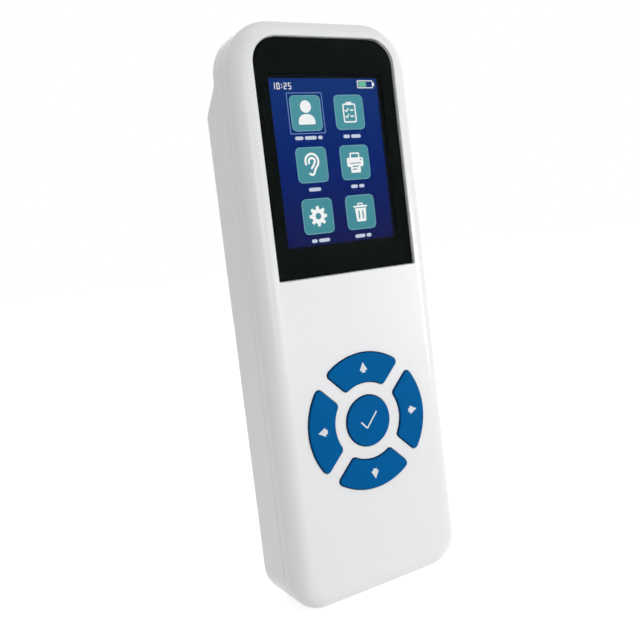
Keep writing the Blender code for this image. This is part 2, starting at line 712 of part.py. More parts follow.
def bay_pieces():
    """The solid of the battery bay: its box, the shelf under the cover and two screw bosses."""
    box = slab("bay_box", (BAY_WIDTH + 2 * BAY_WALL, BODY_DEPTH - BAY_FLOOR, BAY_BOX_LENGTH),
               (0, BAY_FLOOR - BAY_WALL, BATTERY_MIDDLE))
    rim = CLEARANCE + BAY_WALL
    shelf = slab("cover_shelf", (COVER_WIDTH + 2 * rim, BODY_DEPTH - COVER_SEAT, COVER_LENGTH + 2 * rim),
                 (0, COVER_SEAT - SHELF_THICKNESS, BATTERY_MIDDLE))
    bosses = []
    for side, end in ((-1, "lower"), (1, "upper")):
        place = (0, COVER_SEAT - DOOR_SCREW[3], BATTERY_MIDDLE + side * COVER_SCREW_OFFSET)
        bosses.append(rod(f"cover_boss_{end}", DOOR_SCREW[2] + CLEARANCE + BOSS_WALL, place,
                          COVER_SEAT - SHELF_THICKNESS * HALF, steps=SMALL_STEPS))
    return box, shelf, bosses


def make_rear_shell():
    shell = casing("rear_shell", BACK_EDGE, BODY_DEPTH, 0, white_plastic(), rims=(0, BACK_ROUND))
    cut(shell, head_wedge("head_outside", 0))
    box, shelf, bosses = bay_pieces()
    hollow = casing("rear_hollow", PARTING_DEPTH - OVERRUN, BODY_DEPTH - BACK_WALL, SIDE_WALL)
    cut(hollow, head_wedge("head_inside", BACK_WALL), box, shelf, *bosses)
    posts = []
    for x, z, name in case_screw_places():
        posts.append(rod(f"rear_post_{name}", CASE_SCREW[0] + CLEARANCE + BOSS_WALL,
                         (x, LIP_BACK + CLEARANCE, z), BODY_DEPTH))
    cut(hollow, *posts)
    groove_inset = SIDE_WALL - LIP_THICKNESS - CLEARANCE
    groove = casing("lip_groove", PARTING_DEPTH - OVERRUN, LIP_BACK + CLEARANCE, groove_inset)
    cut(shell, hollow, groove)
    for x, z, name in case_screw_places():
        cut(shell, rod(f"rear_counterbore_{name}", CASE_SCREW[0] + CLEARANCE,
                       (x, CASE_SEAT_DEPTH - LAYER_GAP, z), BODY_DEPTH + OVERRUN))
        cut(shell, rod(f"rear_bore_{name}", CASE_SCREW[2] + CLEARANCE,
                       (x, BACK_EDGE - OVERRUN, z), CASE_SEAT_DEPTH + OVERRUN, steps=SMALL_STEPS))
    pocket_size = (COVER_WIDTH + 2 * CLEARANCE, COVER_THICKNESS + CLEARANCE + OVERRUN,
                   COVER_LENGTH + 2 * CLEARANCE)
    corner = COVER_CORNER + CLEARANCE
    pocket = slab("cover_pocket", pocket_size, (0, COVER_SEAT, BATTERY_MIDDLE), corners=(corner, corner))
    bay = slab("battery_bay", (BAY_WIDTH, BODY_DEPTH + OVERRUN - BAY_FLOOR, BAY_LENGTH),
               (0, BAY_FLOOR, BATTERY_MIDDLE))
    cut(shell, pocket, bay)
    for side, end in ((-1, "lower"), (1, "upper")):
        z = BATTERY_MIDDLE + side * COVER_SCREW_OFFSET
        cut(shell, rod(f"cover_bore_{end}", DOOR_SCREW[2] + CLEARANCE,
                       (0, COVER_SEAT - DOOR_SCREW[3] - OVERRUN, z), COVER_SEAT + OVERRUN, steps=SMALL_STEPS))
    for x, z, number in contact_places():
        cut(shell, rod(f"contact_hole_{number}", CONTACT_PIN_RADIUS + CLEARANCE,
                       (x, BAY_FLOOR - BAY_WALL - OVERRUN, z), BAY_FLOOR + OVERRUN, steps=SMALL_STEPS))
    return cut(shell, *socket_cutters("rear"))


def make_window():
    grow = 2 * CLEARANCE
    size = (WINDOW_WIDTH - grow, LENS_THICKNESS, WINDOW_HEIGHT - grow)
    corners = (WINDOW_TOP_CORNER - CLEARANCE, WINDOW_BOTTOM_CORNER - CLEARANCE)
    slab("window_lens", size, (0, LENS_SINK, WINDOW_MIDDLE), lens_plastic(), corners)
    tape_depth = LENS_SINK + LENS_THICKNESS + LAYER_GAP
    tape = slab("lens_tape", (size[0], TAPE_THICKNESS, size[2]), (0, tape_depth, WINDOW_MIDDLE), foam(),
                corners)
    inner = (size[0] - 2 * TAPE_WIDTH, TAPE_THICKNESS + 2 * OVERRUN, size[2] - 2 * TAPE_WIDTH)
    cut(tape, slab("lens_tape_middle", inner, (0, tape_depth - OVERRUN, WINDOW_MIDDLE),
                   corners=(WINDOW_TOP_CORNER - TAPE_WIDTH, 0)))


def make_display():
    slab("lcd_glass", (LCD_WIDTH, GLASS_THICKNESS, LCD_HEIGHT), (0, GLASS_DEPTH, LCD_MIDDLE), glass())
    slab("lcd_backlight", (LCD_WIDTH, BACKLIGHT_THICKNESS, LCD_HEIGHT), (0, BACKLIGHT_DEPTH, LCD_MIDDLE),
         diffuser())
    around = 2 * (CLEARANCE + TRAY_WALL)
    tray = slab("lcd_tray", (LCD_WIDTH + around, TRAY_BACK_DEPTH - GLASS_DEPTH, LCD_HEIGHT + around),
                (0, GLASS_DEPTH, LCD_MIDDLE), steel())
    inside = (LCD_WIDTH + 2 * CLEARANCE, TRAY_FLOOR_DEPTH - GLASS_DEPTH + OVERRUN,
              LCD_HEIGHT + 2 * CLEARANCE)
    notch = (FLEX_WIDTH + 2 * FLEX_NOTCH_MARGIN, TRAY_FLOOR_DEPTH - GLASS_DEPTH + OVERRUN, around)
    cut(tray, slab("lcd_tray_inside", inside, (0, GLASS_DEPTH - OVERRUN, LCD_MIDDLE)),
        slab("lcd_tray_notch", notch, (0, GLASS_DEPTH - OVERRUN, LCD_BOTTOM - around * HALF)))
    foam_size = (LCD_WIDTH - 2 * FOAM_INSET, FOAM_THICKNESS, LCD_HEIGHT - 2 * FOAM_INSET)
    pad = slab("display_foam", foam_size, (0, FOAM_DEPTH, LCD_MIDDLE), foam())
    middle = (foam_size[0] - 2 * FOAM_WIDTH, FOAM_THICKNESS + 2 * OVERRUN, foam_size[2] - 2 * FOAM_WIDTH)
    cut(pad, slab("display_foam_middle", middle, (0, FOAM_DEPTH - OVERRUN, LCD_MIDDLE)))
    plug_depth = BOARD_DEPTH - LAYER_GAP - LCD_PLUG_THICKNESS
    plug_size = (LCD_PLUG_WIDTH, LCD_PLUG_THICKNESS, LCD_PLUG_HEIGHT)
    slab("lcd_connector", plug_size, (0, plug_depth, LCD_PLUG_MIDDLE), black_plastic())
    start = (GLASS_DEPTH + GLASS_THICKNESS * HALF, LCD_BOTTOM - CLEARANCE)
    end = (plug_depth + LCD_PLUG_THICKNESS * HALF, LCD_PLUG_MIDDLE + LCD_PLUG_HEIGHT * HALF + CLEARANCE)
    ribbon("lcd_flex", s_bend(start, end), FLEX_WIDTH, FLEX_THICKNESS, polyimide())


def make_key(name, quarter):
    """A ring key: its cap stands proud of the shell, its flange keeps it in, its post presses a dome."""
    cap_back = FLANGE_BACK - FLANGE_THICKNESS * HALF
    cap = key_sector(name, 0, -KEY_PROUD, cap_back, quarter, blue_plastic(), KEY_EDGE_ROUND)
    flange = key_sector(f"{name}_flange", FLANGE_WIDTH, FLANGE_DEPTH, FLANGE_BACK, quarter)
    x, z = key_middle(quarter)
    post = rod(f"{name}_post", POST_RADIUS, (x, cap_back, z), DOME_DEPTH - LAYER_GAP, steps=SMALL_STEPS)
    fuse(cap, flange, post)
    make_dome(DOMES[name], x, z)


def make_ok_key():
    profile_depths = [(0, -KEY_PROUD), (OK_KEY_RADIUS - KEY_EDGE_ROUND, -KEY_PROUD),
                      (OK_KEY_RADIUS, KEY_EDGE_ROUND - KEY_PROUD), (OK_KEY_RADIUS, FLANGE_DEPTH),
                      (OK_KEY_RADIUS + FLANGE_WIDTH, FLANGE_DEPTH),
                      (OK_KEY_RADIUS + FLANGE_WIDTH, FLANGE_BACK), (POST_RADIUS, FLANGE_BACK),
                      (POST_RADIUS, DOME_DEPTH - LAYER_GAP), (0, DOME_DEPTH - LAYER_GAP)]
    profile = [(radius, depth) for radius, depth in reversed(profile_depths)]
    turned("ok_key", profile, (0, 0, KEYPAD_HEIGHT), blue_plastic(), faces_back=True)
    make_dome("ok_dome", 0, KEYPAD_HEIGHT)


def make_dome(name, x, z):
    """The middle of one of the mat's rubber domes, which moves with its key."""
    rod(name, DOME_TOP_RADIUS, (x, DOME_DEPTH, z), DOME_BACK, silicone(), SMALL_STEPS, DOME_RADIUS)


def make_mat():
    mat = rod("keypad_mat", MAT_RADIUS, (0, MAT_DEPTH, KEYPAD_HEIGHT), MAT_DEPTH + MAT_THICKNESS, silicone())
    places = [(0, KEYPAD_HEIGHT)] + [key_middle(quarter) for quarter in KEYS.values()]
    for number, (x, z) in enumerate(places):
        cut(mat, rod(f"mat_hole_{number}", DOME_RADIUS + MAT_HOLE_MARGIN, (x, MAT_DEPTH - OVERRUN, z),
                     BOARD_DEPTH + OVERRUN, steps=SMALL_STEPS))


def make_board():
    length = BOARD_TOP - BOARD_SHOULDER
    board = slab("main_board", (2 * BOARD_HALF, BOARD_THICKNESS, length),
                 (0, BOARD_DEPTH, BOARD_SHOULDER + length * HALF), board_resist(),
                 (BOARD_CORNER, BOARD_CORNER))
    tongue_length = BOARD_SHOULDER - TONGUE_BOTTOM + BOARD_CORNER
    fuse(board, slab("board_tongue", (TONGUE_WIDTH, BOARD_THICKNESS, tongue_length),
                     (0, BOARD_DEPTH, TONGUE_BOTTOM + tongue_length * HALF)))
    for x, z, name in board_screw_places():
        cut(board, rod(f"board_hole_{name}", BOARD_SCREW[2] + CLEARANCE, (x, BOARD_DEPTH - OVERRUN, z),
                       BOARD_BACK + OVERRUN, steps=SMALL_STEPS))
        screw(f"board_screw_{name}", BOARD_SCREW, x, CHIP_DEPTH, z, steel())


def column(x, *heights):
    """x and z of parts of these heights, spread evenly from the battery bay up to the board's top."""
    z = BATTERY_MIDDLE + BAY_BOX_LENGTH * HALF
    gap = (BOARD_TOP - z - sum(heights)) / (len(heights) + 1)
    places = []
    for height in heights:
        places.append((x, z + gap + height * HALF))
        z += gap + height
    return places


def make_chip(name, place):
    width, height, thickness = CHIP_SIZES[name]
    finish = steel() if name == "clock_crystal" else chip_epoxy()
    x, z = place
    slab(name, (width, thickness, height), (x, CHIP_DEPTH, z), finish)


def make_shield(place):
    """The radio module's sheet metal can, open towards the board."""
    x, z = place
    width, height, thickness = SHIELD_SIZE
    shield = slab("radio_shield", (width, thickness, height), (x, CHIP_DEPTH, z), steel())
    inner = (width - 2 * SHIELD_SHEET, thickness, height - 2 * SHIELD_SHEET)
    cut(shield, slab("radio_shield_inside", inner, (x, CHIP_DEPTH - SHIELD_SHEET, z)))


def make_buzzer(place):
    x, z = place
    middle = BUZZER_HEIGHT * HALF
    profile = [(0, middle), (BUZZER_HOLE, middle), (BUZZER_HOLE, BUZZER_HEIGHT),
               (BUZZER_RADIUS, BUZZER_HEIGHT), (BUZZER_RADIUS, 0), (0, 0)]
    turned("buzzer", profile, (x, CHIP_DEPTH, z), black_plastic(), faces_back=True)


def make_clock_cell(place):
    """The coin cell that keeps the clock going, in its round holder."""
    x, z = place
    bore, rim = CLOCK_CELL_RADIUS + CLEARANCE, CLOCK_CELL_RADIUS + CLEARANCE + HOLDER_WALL
    top = HOLDER_FLOOR + LAYER_GAP + CLOCK_CELL_HEIGHT
    profile = [(0, HOLDER_FLOOR), (bore, HOLDER_FLOOR), (bore, top), (rim, top), (rim, 0), (0, 0)]
    turned("clock_cell_holder", profile, (x, CHIP_DEPTH, z), black_plastic(), faces_back=True)
    cell = CHIP_DEPTH + HOLDER_FLOOR + LAYER_GAP
    rod("clock_cell", CLOCK_CELL_RADIUS, (x, cell, z), cell + CLOCK_CELL_HEIGHT, steel())


def make_capacitor(place):
    x, z = place
    rod("capacitor", CAPACITOR_RADIUS, (x, CHIP_DEPTH, z), CHIP_DEPTH + CAPACITOR_HEIGHT, steel(),
        SMALL_STEPS)


def make_board_parts():
    """Three columns of parts above the battery bay, and a row of two below it."""
    side = COLUMN_SHARE * BOARD_HALF
    heights = {name: size[1] for name, size in CHIP_SIZES.items()}
    holder_height = 2 * (CLOCK_CELL_RADIUS + CLEARANCE + HOLDER_WALL)
    left = column(-side, 2 * BUZZER_RADIUS, heights["memory_chip"], heights["processor_chip"])
    middle = column(0, 2 * CAPACITOR_RADIUS, heights["clock_crystal"])
    right = column(side, holder_height, SHIELD_SIZE[1], heights["audio_codec_chip"])
    make_buzzer(left[0])
    make_chip("memory_chip", left[1])
    make_chip("processor_chip", left[2])
    make_capacitor(middle[0])
    make_chip("clock_crystal", middle[1])
    make_clock_cell(right[0])
    make_shield(right[1])
    make_chip("audio_codec_chip", right[2])
    low = (BOARD_SHOULDER + BATTERY_MIDDLE - BAY_BOX_LENGTH * HALF) * HALF
    make_chip("power_inductor", (-side, low))
    make_chip("charger_chip", (side, low))


def contact_places():
    """x, z and number of the sprung pins that touch the battery's face."""
    z = BATTERY_TOP - CONTACT_DROP
    first_x = -(CONTACT_COUNT - 1) * CONTACT_PITCH * HALF
    return [(first_x + number * CONTACT_PITCH, z, number + 1) for number in range(CONTACT_COUNT)]


def make_battery():
    size = (BATTERY_WIDTH, BATTERY_THICKNESS, BATTERY_LENGTH)
    slab("battery_pack", size, (0, BATTERY_DEPTH, BATTERY_MIDDLE), battery_wrap(),
         (BATTERY_CORNER, BATTERY_CORNER), (BATTERY_ROUND, BATTERY_ROUND))
    block_size = (CONTACT_BLOCK_WIDTH, CONTACT_BLOCK_THICKNESS, CONTACT_BLOCK_HEIGHT)
    block = slab("contact_block", block_size, (0, CHIP_DEPTH, BATTERY_TOP - CONTACT_DROP), black_plastic())
    for x, z, number in contact_places():
        foot = CHIP_DEPTH + CONTACT_BLOCK_THICKNESS * (1 - CONTACT_SINK_SHARE)
        cut(block, rod(f"contact_bore_{number}", CONTACT_PIN_RADIUS + CLEARANCE, (x, foot - CLEARANCE, z),
                       BAY_FLOOR + OVERRUN, steps=SMALL_STEPS))
        rod(f"battery_contact_{number}", CONTACT_PIN_RADIUS, (x, foot, z), BATTERY_DEPTH - CLEARANCE,
            gold(), SMALL_STEPS)


def make_cover():
    cover = slab("battery_cover", (COVER_WIDTH, COVER_THICKNESS, COVER_LENGTH),
                 (0, BODY_DEPTH - COVER_THICKNESS, BATTERY_MIDDLE), white_plastic(),
                 (COVER_CORNER, COVER_CORNER), (0, COVER_EDGE_ROUND))
    head_radius, head_height, shank_radius, _ = DOOR_SCREW
    seat = BODY_DEPTH - COVER_SCREW_SINK - head_height
    for side, end in ((-1, "lower"), (1, "upper")):
        z = BATTERY_MIDDLE + side * COVER_SCREW_OFFSET
        cut(cover, rod(f"cover_counterbore_{end}", head_radius + CLEARANCE, (0, seat - LAYER_GAP, z),
                       BODY_DEPTH + OVERRUN))
        cut(cover, rod(f"cover_hole_{end}", shank_radius + CLEARANCE, (0, COVER_SEAT, z), BODY_DEPTH,
                       steps=SMALL_STEPS))
        screw(f"cover_screw_{end}", DOOR_SCREW, 0, seat, z, steel())


def make_probe_socket():
    """The metal barrel with its flange, groove and key, the insert with its holes, and the keeper."""
    groove_top = BODY_HEIGHT - SIDE_WALL - LAYER_GAP
    groove_bottom = groove_top - KEEPER_THICKNESS - 2 * LAYER_GAP
    flange_bottom = SOCKET_TOP - SOCKET_FLANGE_THICKNESS
    profile = [(SOCKET_BORE, SOCKET_TOP), (SOCKET_FLANGE_RADIUS, SOCKET_TOP),
               (SOCKET_FLANGE_RADIUS, flange_bottom), (SOCKET_RADIUS, flange_bottom),
               (SOCKET_RADIUS, groove_top), (SOCKET_NECK, groove_top), (SOCKET_NECK, groove_bottom),
               (SOCKET_RADIUS, groove_bottom), (SOCKET_RADIUS, SOCKET_BOTTOM), (SOCKET_BORE, SOCKET_BOTTOM)]
    barrel = turned("probe_socket", profile, (0, SOCKET_DEPTH, 0), steel(), closed=True)
    insert_top, insert_bottom = SOCKET_TOP - SOCKET_WELL, SOCKET_BOTTOM - INSERT_TAIL
    key_bottom = insert_top + CLEARANCE
    key_height = flange_bottom - key_bottom
    key_inner = SOCKET_BORE - SOCKET_KEY_DEPTH
    key_size = (SOCKET_KEY_WIDTH, (SOCKET_BORE + SOCKET_NECK) * HALF - key_inner, key_height)
    key_place = (0, SOCKET_DEPTH + key_inner, key_bottom + key_height * HALF)
    fuse(barrel, slab("probe_socket_key", key_size, key_place))
    height = insert_top - insert_bottom
    insert = upright_rod("probe_socket_insert", SOCKET_BORE - CLEARANCE,
                         (0, SOCKET_DEPTH, insert_bottom + height * HALF), height, black_plastic())
    for number in range(PIN_COUNT):
        angle = 4 * QUARTER_TURN * (number + HALF) / PIN_COUNT
        place = (PIN_CIRCLE * math.cos(angle), SOCKET_DEPTH + PIN_CIRCLE * math.sin(angle), insert_top)
        cut(insert, upright_rod(f"insert_hole_{number}", PIN_HOLE_RADIUS, place, 2 * PIN_HOLE_DEPTH,
                                steps=SMALL_STEPS // 2))
    keeper_z = (groove_top + groove_bottom) * HALF
    keeper = slab("probe_socket_keeper", (KEEPER_LENGTH, 2 * SOCKET_BORE, KEEPER_THICKNESS),
                  (KEEPER_START + KEEPER_LENGTH * HALF, SOCKET_DEPTH - SOCKET_BORE, keeper_z), steel())
    cut(keeper, upright_rod("keeper_hollow", SOCKET_NECK + LAYER_GAP, (0, SOCKET_DEPTH, keeper_z),
                            KEEPER_THICKNESS + 2 * OVERRUN))
    make_probe_ribbon(insert_bottom)


def make_probe_ribbon(insert_bottom):
    """The ribbon from the socket's insert down to its connector on the board's back."""
    plug_z = BOARD_TOP - PROBE_PLUG_DROP
    plug_size = (PROBE_PLUG_WIDTH, PROBE_PLUG_THICKNESS, PROBE_PLUG_HEIGHT)
    slab("probe_connector", plug_size, (0, CHIP_DEPTH, plug_z), black_plastic())
    start = (SOCKET_DEPTH + PROBE_RIBBON_SAG, insert_bottom - CLEARANCE)
    end = (CHIP_DEPTH + PROBE_PLUG_THICKNESS * HALF, plug_z + PROBE_PLUG_HEIGHT * HALF + CLEARANCE)
    ribbon("probe_ribbon", s_bend(start, end), PROBE_RIBBON_WIDTH, PROBE_RIBBON_THICKNESS, silicone())


def make_usb_socket():
    socket = slab("usb_socket", (USB_WIDTH, USB_THICKNESS, USB_LENGTH), (0, CHIP_DEPTH, USB_MIDDLE), steel())
    inside = (USB_WIDTH - 2 * USB_SHEET, USB_THICKNESS - 2 * USB_SHEET, USB_LENGTH)
    cut(socket, slab("usb_inside", inside, (0, CHIP_DEPTH + USB_SHEET, USB_MIDDLE - USB_SHEET)))
    blade_z = USB_SINK + USB_LENGTH - USB_SHEET - CLEARANCE - USB_BLADE_LENGTH * HALF
    slab("usb_contact_blade", (USB_BLADE_WIDTH, USB_BLADE_THICKNESS, USB_BLADE_LENGTH),
         (0, USB_DEPTH - USB_BLADE_THICKNESS * HALF, blade_z), black_plastic())


def make_case_screws():
    for x, z, name in case_screw_places():
        screw(f"case_screw_{name}", CASE_SCREW, x, CASE_SEAT_DEPTH, z, steel())


def main():
    make_front_shell()
    make_rear_shell()
    make_window()
    make_display()
    for name, quarter in KEYS.items():
        make_key(name, quarter)
    make_ok_key()
    make_mat()
    make_board()
    make_board_parts()
    make_battery()
    make_cover()
    make_probe_socket()
    make_usb_socket()
    make_case_screws()


main()
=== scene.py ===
# Looks of the hearing screener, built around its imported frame. Lengths are in metres, angles in degrees.
import math

import bmesh
import bpy
import numpy as np
from mathutils import Euler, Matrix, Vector


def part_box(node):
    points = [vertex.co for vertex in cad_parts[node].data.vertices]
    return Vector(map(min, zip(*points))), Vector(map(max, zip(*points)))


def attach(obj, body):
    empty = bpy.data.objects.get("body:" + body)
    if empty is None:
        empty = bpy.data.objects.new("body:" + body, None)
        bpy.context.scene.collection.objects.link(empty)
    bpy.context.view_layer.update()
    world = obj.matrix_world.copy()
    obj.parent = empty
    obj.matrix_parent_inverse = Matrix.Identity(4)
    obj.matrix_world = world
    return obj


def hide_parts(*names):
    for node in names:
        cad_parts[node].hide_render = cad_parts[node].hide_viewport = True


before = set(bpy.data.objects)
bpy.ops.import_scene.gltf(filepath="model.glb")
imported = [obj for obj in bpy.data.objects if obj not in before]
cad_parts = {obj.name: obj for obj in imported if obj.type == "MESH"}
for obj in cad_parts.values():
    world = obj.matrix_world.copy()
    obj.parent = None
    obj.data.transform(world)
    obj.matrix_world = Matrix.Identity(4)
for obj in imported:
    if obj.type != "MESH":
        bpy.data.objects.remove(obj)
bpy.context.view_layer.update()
print("frame loaded:", len(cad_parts), "nodes")


def middle(node):
    low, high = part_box(node)
    return (low + high) / 2


# Casing: what the frame's boxes don't say
casing = {
    "topCorner": 0.0167, "bottomCorner": 0.0118, "frontRound": 0.0065, "backRound": 0.0010,
    "seamRound": 0.00025, "seamGap": 0.0003, "frontWall": 0.0026, "sideWall": 0.0022,
    "backWall": 0.0020, "lipThickness": 0.0010, "lipHeight": 0.0014, "headDepth": 0.0170,
    "headLength": 0.0185, "headRamp": 0.0090,
    "rampBlend": 0.13,      # how far the ramp's ends are rounded, as a share of the ramp
    "cornerSteps": 22, "roundSteps": 14, "innerSteps": 8, "seamSteps": 3, "backSteps": 6,
    "clearance": 0.0003,
    "seatGap": 0.0002,      # between a screw head or a flange and its seat
    "overrun": 0.0020,      # how far a cutter reaches past what it cuts
    "bossWall": 0.0014,
}
caseScrew = {"body": "casing", "shank": 0.0013, "headRadius": 0.0026, "headHeight": 0.0020, "depth": 0.0055}
coverScrew = {"body": "cover", "shank": 0.0011, "headRadius": 0.0022, "headHeight": 0.0011, "depth": 0.0060}
boardScrew = {"shank": 0.0010, "depth": 0.0034}
headSteps = 40      # round a screw's head and the seat for it
frontLow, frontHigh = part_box("front_shell")
rearLow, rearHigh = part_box("rear_shell")
bodyWidth = frontHigh.x - frontLow.x
bodyHeight = frontHigh.z
frontY, seamY, backY = frontLow.y, rearLow.y, rearHigh.y
clearance, seatGap, overrun = casing["clearance"], casing["seatGap"], casing["overrun"]
frontWall, sideWall, backWall = casing["frontWall"], casing["sideWall"], casing["backWall"]
bossWall = casing["bossWall"]


# Shapes: an outline is an array whose rows are a point's x and z and its outward normal's x and z

mirror = np.array([-1, 1, -1, 1])
millimetre = 0.001
limits = {"merge": 1e-7, "rimMerge": 1e-6, "onPlane": 2e-6, "sharpAngle": 32,
          "squareEdge": 1.0}    # in radians


def arc(centre, radius, start, end, steps):
    # centre plus radius times (cosine, sine) of evenly spaced angles in degrees
    angles = np.radians(np.linspace(start, end, steps + 1))
    directions = np.stack([np.cos(angles), np.sin(angles)], axis=1)
    return np.hstack([np.asarray(centre) + radius * directions, directions])


def roundedOutline(low, high, topRadius, bottomRadius, steps=10, rows=()):
    # an upright rectangle with quarter circles for corners: its right half from the bottom up, with a
    # point on the straight side at each row's height, and then the same half mirrored, from the top down
    halfWidth = (high[0] - low[0]) / 2
    side = np.tile([halfWidth, 0.0, 1.0, 0.0], (len(rows), 1))
    side[:, 1] = rows
    right = np.concatenate([
        arc((halfWidth - bottomRadius, low[1] + bottomRadius), bottomRadius, -90, 0, steps), side,
        arc((halfWidth - topRadius, high[1] - topRadius), topRadius, 0, 90, steps)])
    return np.concatenate([right, right[::-1] * mirror]) + ((low[0] + high[0]) / 2, 0, 0, 0)


def onCircle(centre, radius, angle):
    # a circle's point at an angle
    return arc(centre, radius, angle, angle, 0)[0, :2]


def circleOutline(centre, radius, steps=48):
    # a full turn without its last point, which is the first one
    return arc(centre, radius, -90, 270, steps)[:-1]


def quarterTurns(rows, count):
    # the pairs (x, z) in the rows turned by a number of right angles, against the clock
    turn = math.radians(90 * count)
    matrix = np.array([[math.cos(turn), math.sin(turn)], [-math.sin(turn), math.cos(turn)]])
    return np.hstack([pairs @ matrix for pairs in np.split(rows, rows.shape[1] // 2, axis=1)])


def quarterRound(radius, steps, inset=0.0, y=0.0, opens=1):
    # rows (inset, y) of a quarter circle from a flat face round to the side wall; opens 1 leaves a
    # front face at y, and -1 ends on a back face at y
    angles = np.radians(np.linspace(0, 90, steps + 1))
    rows = np.column_stack([inset + radius * (1 - np.sin(angles)), y + opens * radius * (1 - np.cos(angles))])
    return rows if opens > 0 else rows[::-1]


def sweep(outline, profile, back=None):
    # each profile row (inset, y) moves the outline inwards along its normals and sets it at y; a third
    # number that isn't zero adds that many times the back's own y at the point's height
    profile = np.asarray(profile, float)
    flat = outline[None, :, :2] - profile[:, :1, None] * outline[None, :, 2:]
    y = np.repeat(profile[:, 1:2], len(outline), axis=1)
    if back is not None:
        y = y + profile[:, 2:3] * back(flat[..., 1])
    return np.stack([flat[..., 0], y, flat[..., 1]], axis=-1)


def turned(profile, centre, axis="Y", steps=64):
    # rows (radius, place along the axis) turned about an axis through centre, which is its other two places
    profile = np.asarray(profile, float)
    angles = np.radians(np.linspace(0, 360, steps, endpoint=False))
    first = centre[0] + profile[:, :1] * np.cos(angles)
    second = centre[1] + profile[:, :1] * np.sin(angles)
    along = np.repeat(profile[:, 1:2], steps, axis=1)
    return np.stack((first, along, second) if axis == "Y" else (first, second, along), axis=-1)


def gridFaces(rows, columns, closed):
    # quads between neighbouring rows and columns; the columns always close on themselves
    row = np.arange(rows if closed else rows - 1)[:, None]
    column = np.arange(columns)[None]
    below, right = (row + 1) % rows, (column + 1) % columns
    corners = row * columns + column, row * columns + right, below * columns + right, below * columns + column
    return np.stack(corners, axis=-1).reshape(-1, 4)


def piece(name, points, faces):
    mesh = bpy.data.meshes.new(name)
    mesh.from_pydata(np.asarray(points).reshape(-1, 3).tolist(), [], faces)
    bm = bmesh.new()
    bm.from_mesh(mesh)
    bmesh.ops.remove_doubles(bm, verts=bm.verts, dist=limits["merge"])
    bmesh.ops.dissolve_degenerate(bm, edges=bm.edges, dist=limits["merge"])
    bmesh.ops.recalc_face_normals(bm, faces=bm.faces)
    bm.to_mesh(mesh)
    bm.free()
    made = bpy.data.objects.new(name, mesh)
    bpy.context.scene.collection.objects.link(made)
    return made


def solid(name, grid, rungs=False, closed=False):
    # a grid of rings as a closed skin; each end is filled by one face or, across a mirrored outline, by
    # rungs between each point and its mirror image
    rows, columns = grid.shape[:2]
    faces = gridFaces(rows, columns, closed).tolist()
    if not closed:
        step = np.arange(columns // 2 - 1)[:, None]
        rung = np.hstack([step, step + 1, columns - 2 - step, columns - 1 - step])
        end = rung if rungs else np.arange(columns)[None]
        faces += end.tolist() + (end + (rows - 1) * columns).tolist()
    return piece(name, grid, faces)


def slab(name, outline, front, back, inset=0.0):
    # an outline, moved inwards by inset, carried straight from its front to its back
    return solid(name, sweep(outline, [(inset, front), (inset, back)]))


def rod(name, place, radius, front, back, steps=32):
    # a round rod along Y
    return slab(name, circleOutline(place, radius, steps), front, back)


def pillar(name, place, radius, low, high, steps=64):
    # an upright cylinder
    return solid(name, turned([(radius, low), (radius, high)], place, "Z", steps))


def namesFrom(prefix):
    return sorted(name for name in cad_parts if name.startswith(prefix))


def rodsAt(prefix, radius, front, back, steps=32):
    # one rod at the middle of each of the frame's nodes whose names start so
    return [rod(prefix, middle(name).xz, radius, front, back, steps) for name in namesFrom(prefix)]


def block(name, low, high, radius, steps=2):
    # an upright rounded block between two corners (x, y, z)
    outline = roundedOutline((low[0], low[2]), (high[0], high[2]), radius, radius, steps)
    return slab(name, outline, low[1], high[1])


def boxOutline(box, grow, topCorner, bottomCorner, steps):
    # a box seen from the front, larger by grow on all four sides
    low, high = box
    return roundedOutline((low.x - grow, low.z - grow), (high.x + grow, high.z + grow), topCorner, bottomCorner,
                          steps)


def blockRound(name, box, grow, y, radius=0.0003, steps=2):
    # a rounded block about a box, larger by grow at its sides, between two places on Y
    return slab(name, boxOutline(box, grow, radius, radius, steps), *y)


def combine(target, others, operation="DIFFERENCE"):
    # cuts the others out of the target, or joins them to it
    for other in others:
        step = target.modifiers.new(other.name, "BOOLEAN")
        step.operation = operation
        step.solver = "EXACT"
        step.object = other
    bpy.context.view_layer.update()
    made = bpy.data.meshes.new_from_object(target.evaluated_get(bpy.context.evaluated_depsgraph_get()))
    old = target.data
    target.modifiers.clear()
    target.data = made
    made.name = target.name
    bpy.data.meshes.remove(old)
    for other in others:
        bpy.data.objects.remove(other)
    return target


def softenRims(target, planes, width, segments=3):
    # bevels the square edges that lie in one of the planes, each an axis number and a place on it
    bm = bmesh.new()
    bm.from_mesh(target.data)
    bmesh.ops.remove_doubles(bm, verts=bm.verts, dist=limits["rimMerge"])
    square = [edge for edge in bm.edges
              if len(edge.link_faces) == 2 and edge.calc_face_angle() > limits["squareEdge"]]
    picked = [edge for edge in square for axis, place in planes
              if all(abs(vert.co[axis] - place) < limits["onPlane"] for vert in edge.verts)]
    bmesh.ops.bevel(bm, geom=picked, offset=width, offset_type="OFFSET", segments=segments, profile=0.5,
                    affect="EDGES", clamp_overlap=True)
    bm.to_mesh(target.data)
    bm.free()


def settle(target, finish, body):
    target.data.materials.clear()
    target.data.materials.append(finishes[finish])
    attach(target, body)


def dress(target, finish, node=None, body="casing"):
    # finish, smooth shading up to sharp edges, and the frame's node that the piece stands for
    settle(target, finish, body)
    target.data.shade_smooth()
    target.data.set_sharp_from_angle(angle=math.radians(limits["sharpAngle"]))
    target.modifiers.new("weighted normals", "WEIGHTED_NORMAL").keep_sharp = True
    if node:
        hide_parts(node)


# Materials: shared node groups first

